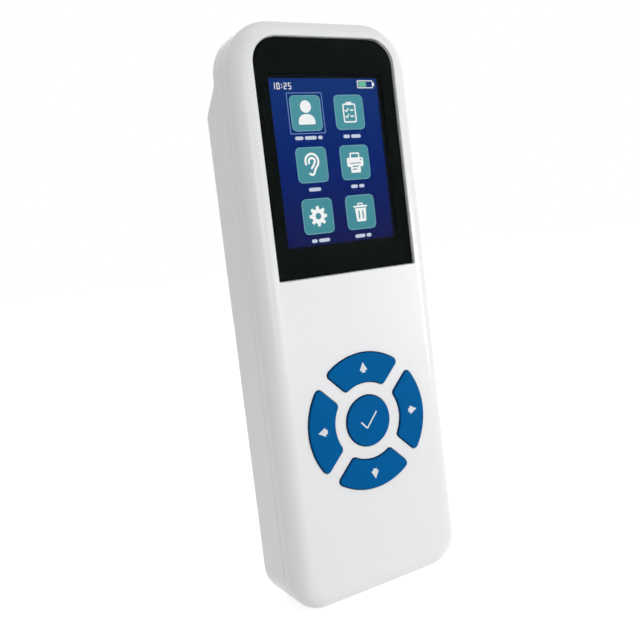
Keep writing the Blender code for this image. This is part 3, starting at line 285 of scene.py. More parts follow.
def plug(tree, sockets, values):
    # each named or numbered socket takes its value: another socket by a link, anything else as its default
    for key, value in values.items():
        if isinstance(value, bpy.types.NodeSocket):
            tree.links.new(value, sockets[key])
        else:
            sockets[key].default_value = value


def newNode(tree, kind, values=None, output=0, **settings):
    # a node with these settings and input values; gives one of its outputs, or all of them for None
    made = tree.nodes.new("ShaderNode" + kind)
    for name, value in settings.items():
        setattr(made, name, value)
    plug(tree, made.inputs, values or {})
    return made.outputs if output is None else made.outputs[output]


def objectPlace(tree):
    return newNode(tree, "TexCoord", output="Object")


def mapped(tree, change, value):
    # the object's own places, scaled or turned
    return newNode(tree, "Mapping", {"Vector": objectPlace(tree), change: value})


def calculate(tree, operation, *values):
    return newNode(tree, "Math", dict(enumerate(values)), operation=operation)


def spread(tree, value, width, base):
    # base plus width times the value's distance from a half
    return calculate(tree, "MULTIPLY_ADD", calculate(tree, "SUBTRACT", value, 0.5), width, base)


def scaled(tree, colour, factor):
    return newNode(tree, "VectorMath", {0: colour, "Scale": factor}, operation="SCALE")


def noise(tree, place, scale, detail=2.0):
    return newNode(tree, "TexNoise", {"Vector": place, "Scale": scale, "Detail": detail})


def mixColours(tree, factor, first, second):
    return newNode(tree, "Mix", {"Factor": factor, 6: first, 7: second}, 2, data_type="RGBA")


def newGroup(name, inputs, outputs):
    # an input whose value is a tuple is a colour, and so is an output called Colour
    group = bpy.data.node_groups.new(name, "ShaderNodeTree")
    kinds = {True: "NodeSocketColor", False: "NodeSocketFloat"}
    for label, value in inputs.items():
        made = group.interface.new_socket(label, in_out="INPUT", socket_type=kinds[isinstance(value, tuple)])
        made.default_value = value
    for label in outputs:
        group.interface.new_socket(label, in_out="OUTPUT", socket_type=kinds[label == "Colour"])
    return group, group.nodes.new("NodeGroupInput").outputs, group.nodes.new("NodeGroupOutput").inputs


def mouldedGroup():
    # colour times one plus a slow noise, roughness plus a middling noise, and a fine grain as height
    group, given, out = newGroup("moulded surface", {
        "Colour": (0.8, 0.8, 0.8, 1), "Drift": 0.03, "Drift Scale": 40.0, "Grain Scale": 3000.0,
        "Roughness": 0.4, "Roughness Drift": 0.08}, ["Colour", "Roughness", "Height"])
    place, scale = objectPlace(group), given["Drift Scale"]
    slow = noise(group, place, scale, 3.0)
    smear = noise(group, place, calculate(group, "MULTIPLY", scale, 6.0), 4.0)
    plug(group, out, {
        "Colour": scaled(group, given["Colour"], spread(group, slow, given["Drift"], 1.0)),
        "Roughness": spread(group, smear, given["Roughness Drift"], given["Roughness"]),
        "Height": noise(group, place, given["Grain Scale"])})
    return group


def brushedGroup():
    # fine lines drawn out along Z, as height and as a change of roughness
    group, given, out = newGroup("brushed surface", {
        "Line Scale": 4000.0, "Roughness": 0.28, "Roughness Drift": 0.10}, ["Roughness", "Height"])
    lines = noise(group, mapped(group, "Scale", (1.0, 1.0, 0.04)), given["Line Scale"], 3.0)
    plug(group, out, {
        "Roughness": spread(group, lines, given["Roughness Drift"], given["Roughness"]), "Height": lines})
    return group


def pixelGroup():
    # light of one pixel: the ramp's colour at this height, darker towards the edges of a square grid,
    # by the grid's depth times the larger of the two distances from a pixel's middle, cubed
    grey = (0.1, 0.1, 0.1, 1)
    group, given, out = newGroup("screen pixels", {
        "Low Colour": grey, "Middle Colour": grey, "High Colour": grey, "Pitch": 0.00018, "Depth": 0.30,
        "Low": 0.0, "High": 1.0}, ["Colour"])
    places = newNode(group, "SeparateXYZ", {0: objectPlace(group)}, None)
    edges = []
    for axis in ("X", "Z"):
        within = calculate(group, "FRACT", calculate(group, "DIVIDE", places[axis], given["Pitch"]))
        edges.append(calculate(group, "ABSOLUTE", calculate(group, "SUBTRACT", within, 0.5)))
    far = calculate(group, "MULTIPLY", calculate(group, "MAXIMUM", *edges), 2.0)
    dark = calculate(group, "MULTIPLY", calculate(group, "POWER", far, 3.0), given["Depth"])
    height = newNode(group, "MapRange", {
        "Value": places["Z"], "From Min": given["Low"], "From Max": given["High"], "To Max": 2.0})
    lower = mixColours(group, height, given["Low Colour"], given["Middle Colour"])
    blended = mixColours(group, calculate(group, "SUBTRACT", height, 1.0), lower, given["High Colour"])
    plug(group, out, {"Colour": scaled(group, blended, calculate(group, "SUBTRACT", 1.0, dark))})
    return group


moulded, brushed, screenPixels = mouldedGroup(), brushedGroup(), pixelGroup()
metalTint, metalGrain = {"Drift": 0.08, "Drift Scale": 150.0}, 0.000006
traces = {"Scale": 260.0, "Mortar Size": 0.035}


def newMaterial(name, values):
    # a material whose shader takes these plain values
    material = bpy.data.materials.new(name)
    material.use_nodes = True
    inputs = material.node_tree.nodes["Principled BSDF"].inputs
    plug(material.node_tree, inputs, values)
    return material, material.node_tree, inputs


def placeGroup(tree, group, values):
    values = {label: (*value, 1) if isinstance(value, tuple) else value for label, value in values.items()}
    return newNode(tree, "Group", values, None, node_tree=group)


def coat(tree, inputs, colour, surface, grain):
    # the colour, and the surface's roughness and height, brought to the shader
    bump = newNode(tree, "Bump", {"Strength": 1.0, "Distance": grain, "Height": surface["Height"]})
    plug(tree, inputs, {"Base Color": colour, "Roughness": surface["Roughness"], "Normal": bump})


def plastic(name, colour, roughness, grain, drifts, gloss=0.5, mask=None, under=None):
    # a moulded surface; where there is a mask, it brings out the colour under
    material, tree, inputs = newMaterial(name, {"Specular IOR Level": gloss})
    surface = placeGroup(tree, moulded, {"Colour": colour, "Roughness": roughness, **drifts})
    shown = mixColours(tree, mask(tree), surface["Colour"], (*under, 1)) if mask else surface["Colour"]
    coat(tree, inputs, shown, surface, grain)
    return material


def metal(name, colour, roughness):
    material, tree, inputs = newMaterial(name, {"Metallic": 1.0})
    tint = placeGroup(tree, moulded, {"Colour": colour, **metalTint})
    coat(tree, inputs, tint["Colour"], placeGroup(tree, brushed, {"Roughness": roughness}), metalGrain)
    return material


def paintedRimShadeMask(tree):
    # painted shade on the rolled edge of a key, as strong as the rim attribute says
    return newNode(tree, "Attribute", output="Fac", attribute_name="rim")


def traceMask(tree):
    # traces along the joints of a brick pattern
    place = mapped(tree, "Rotation", (math.radians(90), 0, 0))
    return newNode(tree, "TexBrick", {"Vector": place, **traces}, "Fac")


def acrylic(name):
    # clear pane with an anti-reflection coat, its roughness slightly smeared
    material, tree, inputs = newMaterial(name, {
        "Base Color": (1, 1, 1, 1), "Transmission Weight": 1.0, "IOR": 1.09})
    surface = placeGroup(tree, moulded, {"Roughness": 0.03, "Roughness Drift": 0.03, "Drift Scale": 60.0})
    plug(tree, inputs, {"Roughness": surface["Roughness"]})
    return material


# each plastic: its colour, roughness and height of grain, its changes to the moulded group's own values,
# and then its specular level, its mask and the colour that the mask brings out, where it has them
plastics = {
    "white satin casing": ((0.865, 0.870, 0.875), 0.30, 0.000014, {
        "Drift": 0.012, "Drift Scale": 25.0, "Grain Scale": 2600.0, "Roughness Drift": 0.07}),
    # the keys' mask paints shade on their rolled edges, in a darker navy
    "matte blue keys": ((0.0012, 0.112, 0.335), 0.50, 0.000012, {
        "Drift": 0.10, "Drift Scale": 120.0, "Grain Scale": 4500.0}, 0.015, paintedRimShadeMask, (0.002, 0.050, 0.170)),
    "black window ink": ((0.0016, 0.0036, 0.0028), 0.60, 0.000003, {"Drift": 0.2}, 0.0),
    "silver key marks": ((0.70, 0.74, 0.78), 0.35, 0.000005, {"Drift": 0.10, "Drift Scale": 400.0}),
    "black nylon": ((0.020, 0.021, 0.023), 0.50, 0.00001, {"Drift": 0.15}),
    "black foam": ((0.03, 0.03, 0.03), 0.9, 0.00008, {"Grain Scale": 2200.0}),
    "display glass": ((0.003, 0.005, 0.008), 0.30, 0.000001, {"Drift": 0.3}, 0.02),
    "backlight diffuser": ((0.78, 0.80, 0.82), 0.45, 0.00001, {}),
    "amber film": ((0.42, 0.16, 0.03), 0.33, 0.00001, {"Drift": 0.3, "Drift Scale": 200.0}),
    "grey silicone": ((0.30, 0.31, 0.32), 0.60, 0.00003, {}),
    "green resist": ((0.010, 0.115, 0.050), 0.36, 0.00001, {"Drift": 0.2, "Drift Scale": 60.0}, 0.5,
                     traceMask, (0.03, 0.22, 0.10)),
    "chip epoxy": ((0.016, 0.017, 0.018), 0.55, 0.00003, {"Grain Scale": 5000.0}),
    "battery film": ((0.055, 0.085, 0.150), 0.38, 0.00008, {
        "Drift": 0.25, "Drift Scale": 90.0, "Grain Scale": 350.0}),
}
metals = {
    "nickel plate": ((0.62, 0.62, 0.60), 0.25),
    "zinc plated steel": ((0.50, 0.51, 0.52), 0.32),
    "gold plate": ((0.86, 0.60, 0.24), 0.22),
}
finishes = {name: plastic(name, *values) for name, values in plastics.items()}
finishes.update({name: metal(name, *values) for name, values in metals.items()})
finishes["clear window acrylic"] = acrylic("clear window acrylic")
print("materials made")


# Front shell

front = {
    "windowTopCorner": 0.0095, "windowBottomCorner": 0.0008, "leastCorner": 0.0002,
    "pocketDepth": 0.0018, "apertureMargin": 0.0015, "apertureCorner": 0.0010,
    "faceRows": (0.0020, 0.0004),   # how far inside the rounded edge the face's own rings lie
    "lipChamfer": 0.0002, "rimSoft": 0.00022, "ribGap": 0.0008, "ribThickness": 0.0012,
    "ringSteps": 72, "apertureSteps": 4,
}
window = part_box("window_lens")
picture = {"low": Vector((-0.0216, 0, 0.1244)), "high": Vector((0.0216, 0, 0.1806))}
pictureBox = picture["low"], picture["high"]
keypad = {
    "ringOuter": 0.0240, "ringInner": 0.0137, "diagonalGap": 0.0052, "corner": 0.0015,
    "edgeRound": 0.00042, "markRelief": 0.00003,
    "faceRows": ((0.00135, 0), (0.00067, 0.000004)),    # inset and drop of the face's own rings
    "edgeDrop": 0.00001, "okInnerRow": 0.0060, "backRow": 0.0010,
    "rimStart": 0.00005,    # below the face, where the painted shade on the edge starts
    "rimReach": 0.8,        # share of the rolled edge over which the painted shade deepens
    "flangeWidth": 0.0010, "flangeThickness": 0.0010, "postRadius": 0.0024,
    "postStart": 0.0006,    # behind the casing's wall
    "outerSteps": 18, "cornerSteps": 6, "edgeSteps": 6, "postSteps": 28, "okSteps": 96,
    "okRadius": 0.0089, "middleHeight": middle("ok_key").z,
}
ringKeys = {"up_key": 0, "left_key": 1, "down_key": 2, "right_key": 3}
keypadMiddle = (0, keypad["middleHeight"])


def casingOutline(rows=()):
    # the casing seen from the front
    return roundedOutline((-bodyWidth / 2, 0), (bodyWidth / 2, bodyHeight), casing["topCorner"],
                          casing["bottomCorner"], casing["cornerSteps"], rows)


def sectorOutline(quarter):
    # a ring key: a sector between two circles whose straight sides keep half the diagonal gap from the
    # diagonals, with round corners; the right half is made first, then mirrored, then all is turned
    corner, steps, cornerSteps = keypad["corner"], keypad["outerSteps"], keypad["cornerSteps"]
    outer, inner = keypad["ringOuter"] - corner, keypad["ringInner"] + corner
    side = keypad["diagonalGap"] / 2 + corner
    outerAngle, innerAngle = (45 + math.degrees(math.asin(side / radius)) for radius in (outer, inner))
    right = np.concatenate([
        arc((0, 0), outer + corner, 90, outerAngle, steps),
        arc(onCircle((0, 0), outer, outerAngle), corner, outerAngle, -45, cornerSteps)[1:],
        arc(onCircle((0, 0), inner, innerAngle), corner, -45, innerAngle - 180, cornerSteps),
        arc((0, 0), inner - corner, innerAngle, 90, steps)[1:] * (1, 1, -1, -1)])
    whole = np.concatenate([right, right[-2:0:-1] * mirror])
    return quarterTurns(whole, quarter) + (*keypadMiddle, 0, 0)


def windowOutline(inset=0.0, steps=14):
    # the window's pocket, moved inwards by inset
    bottomCorner = max(front["windowBottomCorner"] - inset, front["leastCorner"])
    return boxOutline(window, clearance - inset, front["windowTopCorner"] - inset, bottomCorner, steps)


socket = {
    "flangeWidth": 0.0008, "flangeThickness": 0.0010, "wall": 0.0007, "groove": 0.0003,
    "keeperGap": 0.0002, "keyWidth": 0.0010, "keyDepth": 0.0004, "keyCorner": 0.0001,
    "chamfer": 0.00018, "pins": 7, "pinCircle": 0.0021, "pinRadius": 0.00035, "pinDepth": 0.0020,
    "pinSteps": 16, "sleeveGap": 0.00002, "sleeveWall": 0.0001, "sleeveSink": 0.0001,
}
charging = {"wall": 0.0003, "chamfer": 0.0001, "roundShare": 0.98, "steps": 12}
socketBox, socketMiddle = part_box("probe_socket"), middle("probe_socket")
socketCentre = socketMiddle.xy
flangeRadius = (socketBox[1].x - socketBox[0].x) / 2
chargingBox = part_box("usb_socket")


def chargingTube(profile, grow=0.0):
    # the charging socket's flat oval, larger by grow, swept upwards by rows (inset, z)
    low, high = chargingBox
    depth = (high.y - low.y) / 2 + grow
    corner = depth * charging["roundShare"]
    outline = roundedOutline((low.x - grow, -depth), (high.x + grow, depth), corner, corner, charging["steps"])
    return sweep(outline, profile)[..., [0, 2, 1]] + (0, middle("usb_socket").y, 0)


def endCutters():
    # the seat and the hole of the probe socket, and the slot of the charging socket
    flange = flangeRadius + clearance
    barrel = flange - socket["flangeWidth"]
    seatFloor = socketBox[1].z - socket["flangeThickness"] - seatGap
    slot = chargingTube([(0, -overrun), (0, 2 * sideWall)], clearance)
    return [pillar("socket seat", socketCentre, flange, seatFloor, bodyHeight + overrun),
            pillar("socket hole", socketCentre, barrel, bodyHeight - 3 * sideWall, seatFloor + overrun),
            solid("charging slot", slot)]


def makeFrontShell():
    # a skin with a rolled front edge and the lip, less a hollow; then rib and bosses, and all openings
    frontEdge = seamY - casing["seamGap"]
    outline = casingOutline()
    frontRound = casing["frontRound"]
    profile = [*((frontRound + row, frontY) for row in front["faceRows"]),
               *quarterRound(frontRound, casing["roundSteps"], 0, frontY),
               *quarterRound(casing["seamRound"], casing["seamSteps"], 0, frontEdge, -1)]
    shell = solid("frontShell", sweep(outline, profile))
    lipBack = frontEdge + casing["seamGap"] / 2 + casing["lipHeight"]
    lipInset, chamfer = sideWall - casing["lipThickness"], front["lipChamfer"]
    lip = solid("lip", sweep(outline, [
        (lipInset, frontEdge - casing["lipHeight"]), (lipInset, lipBack - chamfer),
        (lipInset + chamfer, lipBack)]))
    innerRound = quarterRound(frontRound - sideWall, casing["innerSteps"], sideWall, frontY + frontWall)
    hollow = solid("hollow", sweep(outline, [*innerRound, (sideWall, lipBack + overrun)]))
    combine(shell, [lip], "UNION")
    combine(shell, [hollow])
    thickness = front["ribThickness"]
    ribRadius = keypad["ringOuter"] + keypad["flangeWidth"] + front["ribGap"] + thickness
    floor = frontY + frontWall / 2
    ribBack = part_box("keypad_mat")[0].y - clearance
    rib = solid("rib", sweep(circleOutline(keypadMiddle, ribRadius, front["ringSteps"]), [
        (0, floor), (0, ribBack), (thickness, ribBack), (thickness, floor)]), closed=True)
    caseShank, boardShank = caseScrew["shank"] + clearance, boardScrew["shank"] + clearance
    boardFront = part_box("main_board")[0].y
    combine(shell, [rib] + rodsAt("case_screw", caseShank + bossWall, floor, lipBack)
            + rodsAt("board_screw", boardShank + bossWall, floor, boardFront - clearance), "UNION")
    bores = (rodsAt("case_screw", caseShank, lipBack - caseScrew["depth"], lipBack + overrun)
             + rodsAt("board_screw", boardShank, boardFront - boardScrew["depth"], boardFront + overrun))
    pocket = slab("window pocket", windowOutline(), frontY - overrun, frontY + front["pocketDepth"])
    aperture = blockRound("aperture", pictureBox, front["apertureMargin"],
                          (frontY - overrun, frontY + frontWall + overrun), front["apertureCorner"],
                          front["apertureSteps"])
    through = frontY - overrun, frontY + frontWall + overrun / 2
    openings = [slab(name, sectorOutline(quarter), *through, -clearance) for name, quarter in ringKeys.items()]
    openings.append(rod("ok opening", keypadMiddle, keypad["okRadius"] + clearance, *through,
                        front["ringSteps"]))
    combine(shell, bores + [pocket, aperture] + openings + endCutters())
    softenRims(shell, [(1, frontY), (2, bodyHeight), (2, 0.0)], front["rimSoft"])
    dress(shell, "white satin casing", "front_shell")


makeFrontShell()
print("front shell made")


# Rear shell: its back steps in to the slim head

rear = {
    "shelfThickness": 0.0015, "bayWall": 0.0016, "bayCorner": 0.0006, "pocketCorner": 0.0033,
    "faceRow": 0.0003, "rimSoft": 0.0002, "pocketSteps": 8, "baySteps": 3, "pinSteps": 20, "rampRows": 44,
    "rowSpread": 0.0016,    # how far past the ramp's foot its rows begin
    "cornerRoom": 0.0001,   # how far below the round corners they end
}
headBack = frontY + casing["headDepth"]
rampTop = bodyHeight - casing["headLength"]


def blendedCorner(t):
    # zero below zero and t above it, joined by a parabola
    blend = casing["rampBlend"]
    return np.where(np.abs(t) < blend, (t + blend) ** 2 / (4 * blend), np.maximum(t, 0))


def backAt(z):
    # the y of the casing's back at a height: full depth, a ramp with rounded ends, then the slim head
    t = (rampTop - z) / casing["headRamp"]
    return headBack + (backY - headBack) * (blendedCorner(t) - blendedCorner(t - 1))


def innerBackAt(z):
    # the same line one wall further in, square to the ramp
    drop = backWall * math.tan(math.atan2(backY - headBack, casing["headRamp"]) / 2)
    return backAt(z + drop) - backWall


def makeRearShell():
    # a skin that follows backAt, less a hollow one wall further in, which spares the bay and the posts
    rowsFrom = rampTop - casing["headRamp"] - rear["rowSpread"] - backWall
    rows = np.linspace(rowsFrom, bodyHeight - casing["topCorner"] - rear["cornerRoom"], rear["rampRows"])
    outline = casingOutline(rows)
    profile = [*((*row, 0) for row in quarterRound(casing["seamRound"], casing["seamSteps"], 0, seamY)),
               *((*row, 1) for row in quarterRound(casing["backRound"], casing["backSteps"], 0, 0, -1)),
               (casing["backRound"] + rear["faceRow"], 0, 1)]
    shell = solid("rearShell", sweep(outline, profile, backAt), rungs=True)
    hollow = solid("hollow", sweep(outline, [(sideWall, seamY - overrun, 0), (sideWall, 0, 1)], innerBackAt),
                   rungs=True)
    battery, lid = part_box("battery_pack"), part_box("battery_cover")
    bayFloor, seat = battery[0].y - clearance, lid[0].y - clearance
    walled = clearance + rear["bayWall"]
    bayBack = bayFloor - rear["bayWall"]
    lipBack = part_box("front_shell")[1].y + clearance
    headRadius, coverShank = caseScrew["headRadius"] + clearance, coverScrew["shank"] + clearance
    screwFoot = seat - coverScrew["depth"]
    kept = [blockRound("bay box", battery, walled, (bayBack, backY)),
            blockRound("shelf", lid, walled, (seat - rear["shelfThickness"], backY))]
    kept += rodsAt("case_screw", headRadius + bossWall, lipBack, backY)
    kept += rodsAt("cover_screw", coverShank + bossWall, screwFoot, seat)
    combine(hollow, kept)
    grooveInset = sideWall - casing["lipThickness"] - clearance
    cutters = [
        slab("groove", outline, seamY - overrun, lipBack, grooveInset),
        blockRound("cover pocket", lid, clearance, (seat, backY + overrun), rear["pocketCorner"],
                   rear["pocketSteps"]),
        blockRound("bay", battery, clearance, (bayFloor, backY + overrun), rear["bayCorner"],
                   rear["baySteps"])]
    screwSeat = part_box("case_screw_lower_left")[1].y - caseScrew["headHeight"] - seatGap
    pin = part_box("battery_contact_1")
    cutters += rodsAt("case_screw", headRadius, screwSeat, backY + overrun, headSteps)
    cutters += rodsAt("case_screw", caseScrew["shank"] + clearance, seamY - overrun, screwSeat + overrun / 2)
    cutters += rodsAt("cover_screw", coverShank, screwFoot - overrun, seat + overrun / 2)
    cutters += rodsAt("battery_contact", (pin[1].x - pin[0].x) / 2 + clearance, bayBack - overrun,
                      bayFloor + overrun / 2, rear["pinSteps"])
    combine(shell, [hollow])
    combine(shell, cutters + endCutters())
    softenRims(shell, [(1, backY), (1, headBack), (2, bodyHeight), (2, 0.0)], rear["rimSoft"])
    dress(shell, "white satin casing", "rear_shell")


makeRearShell()
print("rear shell made")


# Battery cover

cover = {
    "corner": 0.0030, "cornerSteps": 10, "edgeRound": 0.0004, "frontChamfer": 0.0002, "faceRow": 0.0003,
    "headSink": 0.0001, "rimSoft": 0.00015, "rimSegments": 2, "edgeSteps": 4}


def makeCover():
    # a plate with a rolled back edge and a stepped hole for each screw
    low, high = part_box("battery_cover")
    edge, chamfer = cover["edgeRound"], cover["frontChamfer"]
    profile = [(chamfer, low.y), (0, low.y + chamfer), *quarterRound(edge, cover["edgeSteps"], 0, high.y, -1),
               (edge + cover["faceRow"], high.y)]
    outline = boxOutline((low, high), 0, cover["corner"], cover["corner"], cover["cornerSteps"])
    made = solid("batteryCover", sweep(outline, profile))
    seat = high.y - cover["headSink"] - coverScrew["headHeight"] - seatGap
    combine(made, rodsAt("cover_screw", coverScrew["headRadius"] + clearance, seat, high.y + overrun, headSteps)
            + rodsAt("cover_screw", coverScrew["shank"] + clearance, low.y - overrun, seat + overrun / 4))
    softenRims(made, [(1, high.y)], cover["rimSoft"], cover["rimSegments"])
    dress(made, "white satin casing", "battery_cover", "cover")


makeCover()
print("battery cover made")


# Window: a clear pane over a layer of black ink with an opening for the picture

pane = {"edgeRound": 0.00018, "faceRow": 0.0003, "backChamfer": 0.0001, "inkInset": 0.0001,
        "inkThickness": 0.00008, "inkGap": 0.00002, "openingMargin": 0.00125, "openingCorner": 0.0006,
        "lining": 0.00020, "edgeSteps": 4, "openingSteps": 5}


def makeWindow():
    low, high = window
    soft, chamfer, gap = pane["edgeRound"], pane["backChamfer"], pane["inkGap"]
    outline = windowOutline(clearance)
    profile = [(soft + pane["faceRow"], low.y), *quarterRound(soft, pane["edgeSteps"], 0, low.y),
               (0, high.y - chamfer), (chamfer, high.y)]
    dress(solid("windowLens", sweep(outline, profile)), "clear window acrylic",
          "window_lens")
    inkFront = high.y + gap
    inkBack = inkFront + pane["inkThickness"]
    ink = slab("windowInk", outline, inkFront, inkBack, pane["inkInset"])
    opening = blockRound("picture opening", pictureBox, pane["openingMargin"],
                         (inkFront - overrun, inkFront + overrun), pane["openingCorner"],
                         pane["openingSteps"])
    dress(combine(ink, [opening]), "black window ink")
    # a black lining hides the white edge of the casing's opening
    corner, lining = front["apertureCorner"], pane["lining"]
    outline = boxOutline(pictureBox, front["apertureMargin"], corner, corner, front["apertureSteps"])
    near, far = inkBack + gap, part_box("lcd_glass")[0].y - gap
    ring = solid("windowLining", sweep(outline, [(gap, near), (lining, near), (lining, far), (gap, far)]),
                 closed=True)
    dress(ring, "black window ink")


makeWindow()
print("window made")


# Picture on the display: flat layers of light in front of its glass, drawn in millimetres

layers = {"thickness": 0.00003, "glassGap": 0.00002, "leastCorner": 0.02, "groundCorner": 0.2,
          "groundSteps": 2,
          "barRound": 0.499}    # radius of a bar's round ends, as a share of its shorter side
tiles = {
    "size": 12.0, "corner": 1.8, "cornerSteps": 8,
    "columns": 8.75,        # the columns' distance from the middle
    "firstRow": 5.6,        # from the picture's top edge to the first row's top
    "pitch": 17.4, "rim": 0.26, "frameMargin": 0.9, "frameStroke": 0.22, "frameCorner": 0.2,
    "labelDrop": 2.3, "labelHeight": 1.2, "labelGap": 0.6,
}
clock = {"text": "10:25", "left": 1.2, "drop": 2.5, "width": 0.84, "height": 1.9, "stroke": 0.26,
         "pitch": 1.70, "colonPitch": 1.0, "dotShare": 0.75, "dotSteps": 12}
gauge = {"right": 1.1, "drop": 2.0, "width": 6.6, "height": 2.7, "stroke": 0.30, "corner": 0.3, "nub": 0.6,
         "nubShare": 0.45, "softCorner": 0.1, "fill": 0.58, "sideRoom": 4.0, "topRoom": 3.4}
# each light's colour, or its colours at the picture's foot, middle and top
screenLights = {
    "picture ground": ((0.0085, 0.0125, 0.085), (0.0030, 0.0190, 0.165), (0.0070, 0.036, 0.190)),
    "tile ground": ((0.063, 0.285, 0.335), (0.075, 0.310, 0.365), (0.085, 0.330, 0.380)),
    "tile edge": [(0.20, 0.46, 0.52)],
    "picture white": [(0.98, 1.0, 1.0)],
    "picture label": [(0.62, 0.70, 0.84)],
    "picture line": [(0.20, 0.34, 0.62)],
    "picture green": [(0.15, 0.56, 0.36)],
}


def screenLight(name, low, between=None, high=None):
    material, tree, inputs = newMaterial(name, {
        "Emission Strength": 1.0, "Base Color": (0, 0, 0, 1), "Roughness": 0.35, "Specular IOR Level": 0.0})
    pixels = placeGroup(tree, screenPixels, {
        "Low Colour": low, "Middle Colour": between or low, "High Colour": high or low,
        "Low": picture["low"].z, "High": picture["high"].z})
    plug(tree, inputs, {"Emission Color": pixels["Colour"]})
    return material


def prism(shapes, frontPlace, backPlace):
    # each shape is an outline, or an outline with an inner one of as many points, made into a closed plate
    points, faces, count = [], [], 0
    for shape in shapes:
        rings = shape if isinstance(shape, tuple) else (shape,)
        n = len(rings[0])
        rows = [(rings[0], frontPlace), (rings[0], backPlace)]
        if len(rings) == 2:
            rows += [(rings[1], backPlace), (rings[1], frontPlace)]
        for ring, y in rows:
            across, up = ring.T * millimetre
            points.append(np.column_stack([across, np.full(n, y), up]))
        faces += (gridFaces(len(rows), n, len(rings) == 2) + count).tolist()
        if len(rings) == 1:
            faces += [(count + np.arange(n)).tolist(), (count + n + np.arange(n)).tolist()]
        count += len(rows) * n
    return np.concatenate(points), faces


def layer(name, shapes, level, finish, body="casing", back=None):
    # a flat layer of the picture; level counts layers forwards from the display's glass
    if back is None:
        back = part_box("lcd_glass")[0].y - layers["glassGap"] - level * layers["thickness"]
    settle(piece(name, *prism(shapes, back - layers["thickness"], back)), finish, body)


def bar(x, z, width, height, radius=None, steps=4):
    # a rounded rectangle about its middle; with no radius given its ends are round
    radius = min(width, height) * layers["barRound"] if radius is None else radius
    low, high = (x - width / 2, z - height / 2), (x + width / 2, z + height / 2)
    return roundedOutline(low, high, radius, radius, steps)[:, :2]


def disc(x, z, radius, steps=32):
    return circleOutline((x, z), radius, steps)[:, :2]


def barHoop(x, z, width, height, radius, stroke, steps=5):
    # a bar's outline and the same one stroke further in
    corner = max(radius - stroke, layers["leastCorner"])
    inner = bar(x, z, width - 2 * stroke, height - 2 * stroke, corner, steps)
    return bar(x, z, width, height, radius, steps), inner


def stroke(path, width, steps=6):
    # a line of even width along a path, with half-round ends: the path moved sideways both ways
    path = np.asarray(path, float)
    along = np.gradient(path, axis=0)
    along /= np.linalg.norm(along, axis=1, keepdims=True)
    sideways = np.stack([-along[:, 1], along[:, 0]], axis=1) * width / 2
    caps = []
    for end, (dx, dz) in ((path[0], sideways[0]), (path[-1], -sideways[-1])):
        angle = math.degrees(math.atan2(dz, dx))
        caps.append(arc(end, width / 2, angle, angle + 180, steps)[:, :2])
    return np.concatenate([caps[0], (path - sideways)[1:-1], caps[1], (path + sideways)[-2:0:-1]])


def curve(start, bend, end, steps=12):
    # a quadratic curve between two points that leans towards a third
    t = np.linspace(0, 1, steps + 1)[:, None]
    start, bend, end = (np.asarray(p, float) for p in (start, bend, end))
    return (1 - t) ** 2 * start + 2 * t * (1 - t) * bend + t ** 2 * end


# Each drawing gives its white shapes and what is cut out of them, about its own middle

def person():
    corner = curve((2.8, -3.8), (3.3, -3.8), (3.3, -3.2), 4)
    right = np.concatenate([corner, curve(corner[-1], (3.1, -0.3), (0, -0.3))[1:]])
    return [disc(0, 2.2, 2.1), np.concatenate([right, right[-2::-1] * (-1, 1)])], []


def clipboard():
    drawn = [barHoop(0, -0.3, 5.4, 6.6, 0.7, 0.5), bar(0, 3.0, 2.4, 1.1, 0.3)]
    for z in (0.7, -1.4):
        drawn += [stroke([(-1.7, z), (-1.2, z - 0.5)], 0.4), stroke([(-1.2, z - 0.5), (-0.4, z + 0.6)], 0.4),
                  bar(1.0, z, 1.5, 0.5)]
    return drawn, []


def ear():
    # an outer fold from the lobe over the top, and a smaller fold inside it
    outer = arc((0, 1.1), 2.35, 200, -52, 25)[:, :2]
    lobe = curve(outer[-1], (1.0, -1.3), (0.5, -2.5), 8)[1:]
    hook = curve((0.5, -2.5), (-0.1, -3.6), (-1.1, -2.7), 8)[1:]
    inner = arc((0, 1.0), 1.15, 200, -52, 25)[:20, :2]
    fold = curve(inner[-1], (0.5, -0.3), (-0.3, -1.0), 6)[1:]
    paths = np.concatenate([outer, lobe, hook]), np.concatenate([inner, fold])
    return [stroke(path * 1.08, 0.78) for path in paths], []


def printer():
    drawn = [bar(0, 0.1, 6.8, 3.2, 0.7), barHoop(0, 2.2, 4.0, 2.4, 0.3, 0.5), bar(0, -2.0, 4.0, 3.2, 0.3)]
    lines = [bar(0, -1.4, 2.6, 0.4), bar(-0.4, -2.4, 1.8, 0.4), bar(2.4, 0.9, 0.6, 0.6), bar(0, -0.3, 4.6, 0.3)]
    return drawn, lines


def gear(teeth=8):
    # a wheel whose radius swells to a flat tooth eight times in a turn
    angles = np.radians(np.linspace(0, 360, teeth * 16, endpoint=False))
    radius = 3.00 + 0.48 * np.clip(2.6 * np.cos(teeth * angles), -1, 1)
    return [np.stack([radius * np.cos(angles), radius * np.sin(angles)], axis=1)], [disc(0, 0, 1.1)]


def wasteBin():
    body = np.array([(-2.3, 1.4), (-1.95, -3.0), (-1.6, -3.3), (1.6, -3.3), (1.95, -3.0), (2.3, 1.4)])
    drawn = [bar(0, 2.0, 5.8, 0.6), barHoop(0, 2.6, 2.2, 1.3, 0.3, 0.4), body]
    return drawn, [bar(side * 0.8, -0.9, 0.5, 2.9) for side in (-1, 1)]


# each tile's drawing, and the lengths of the bars below it
drawings = {person: (3.2, 4.6, 1.8), clipboard: (2.6, 4.0), ear: (4.8,), printer: (2.8, 2.2), gear: (2.2, 4.4),
            wasteBin: (4.2, 2.0)}
# the seven strokes that a digit uses: top, upper left and right, middle, lower left and right, bottom
digitStrokes = {"0": "1110111", "1": "0010010", "2": "1011101", "5": "1101011"}


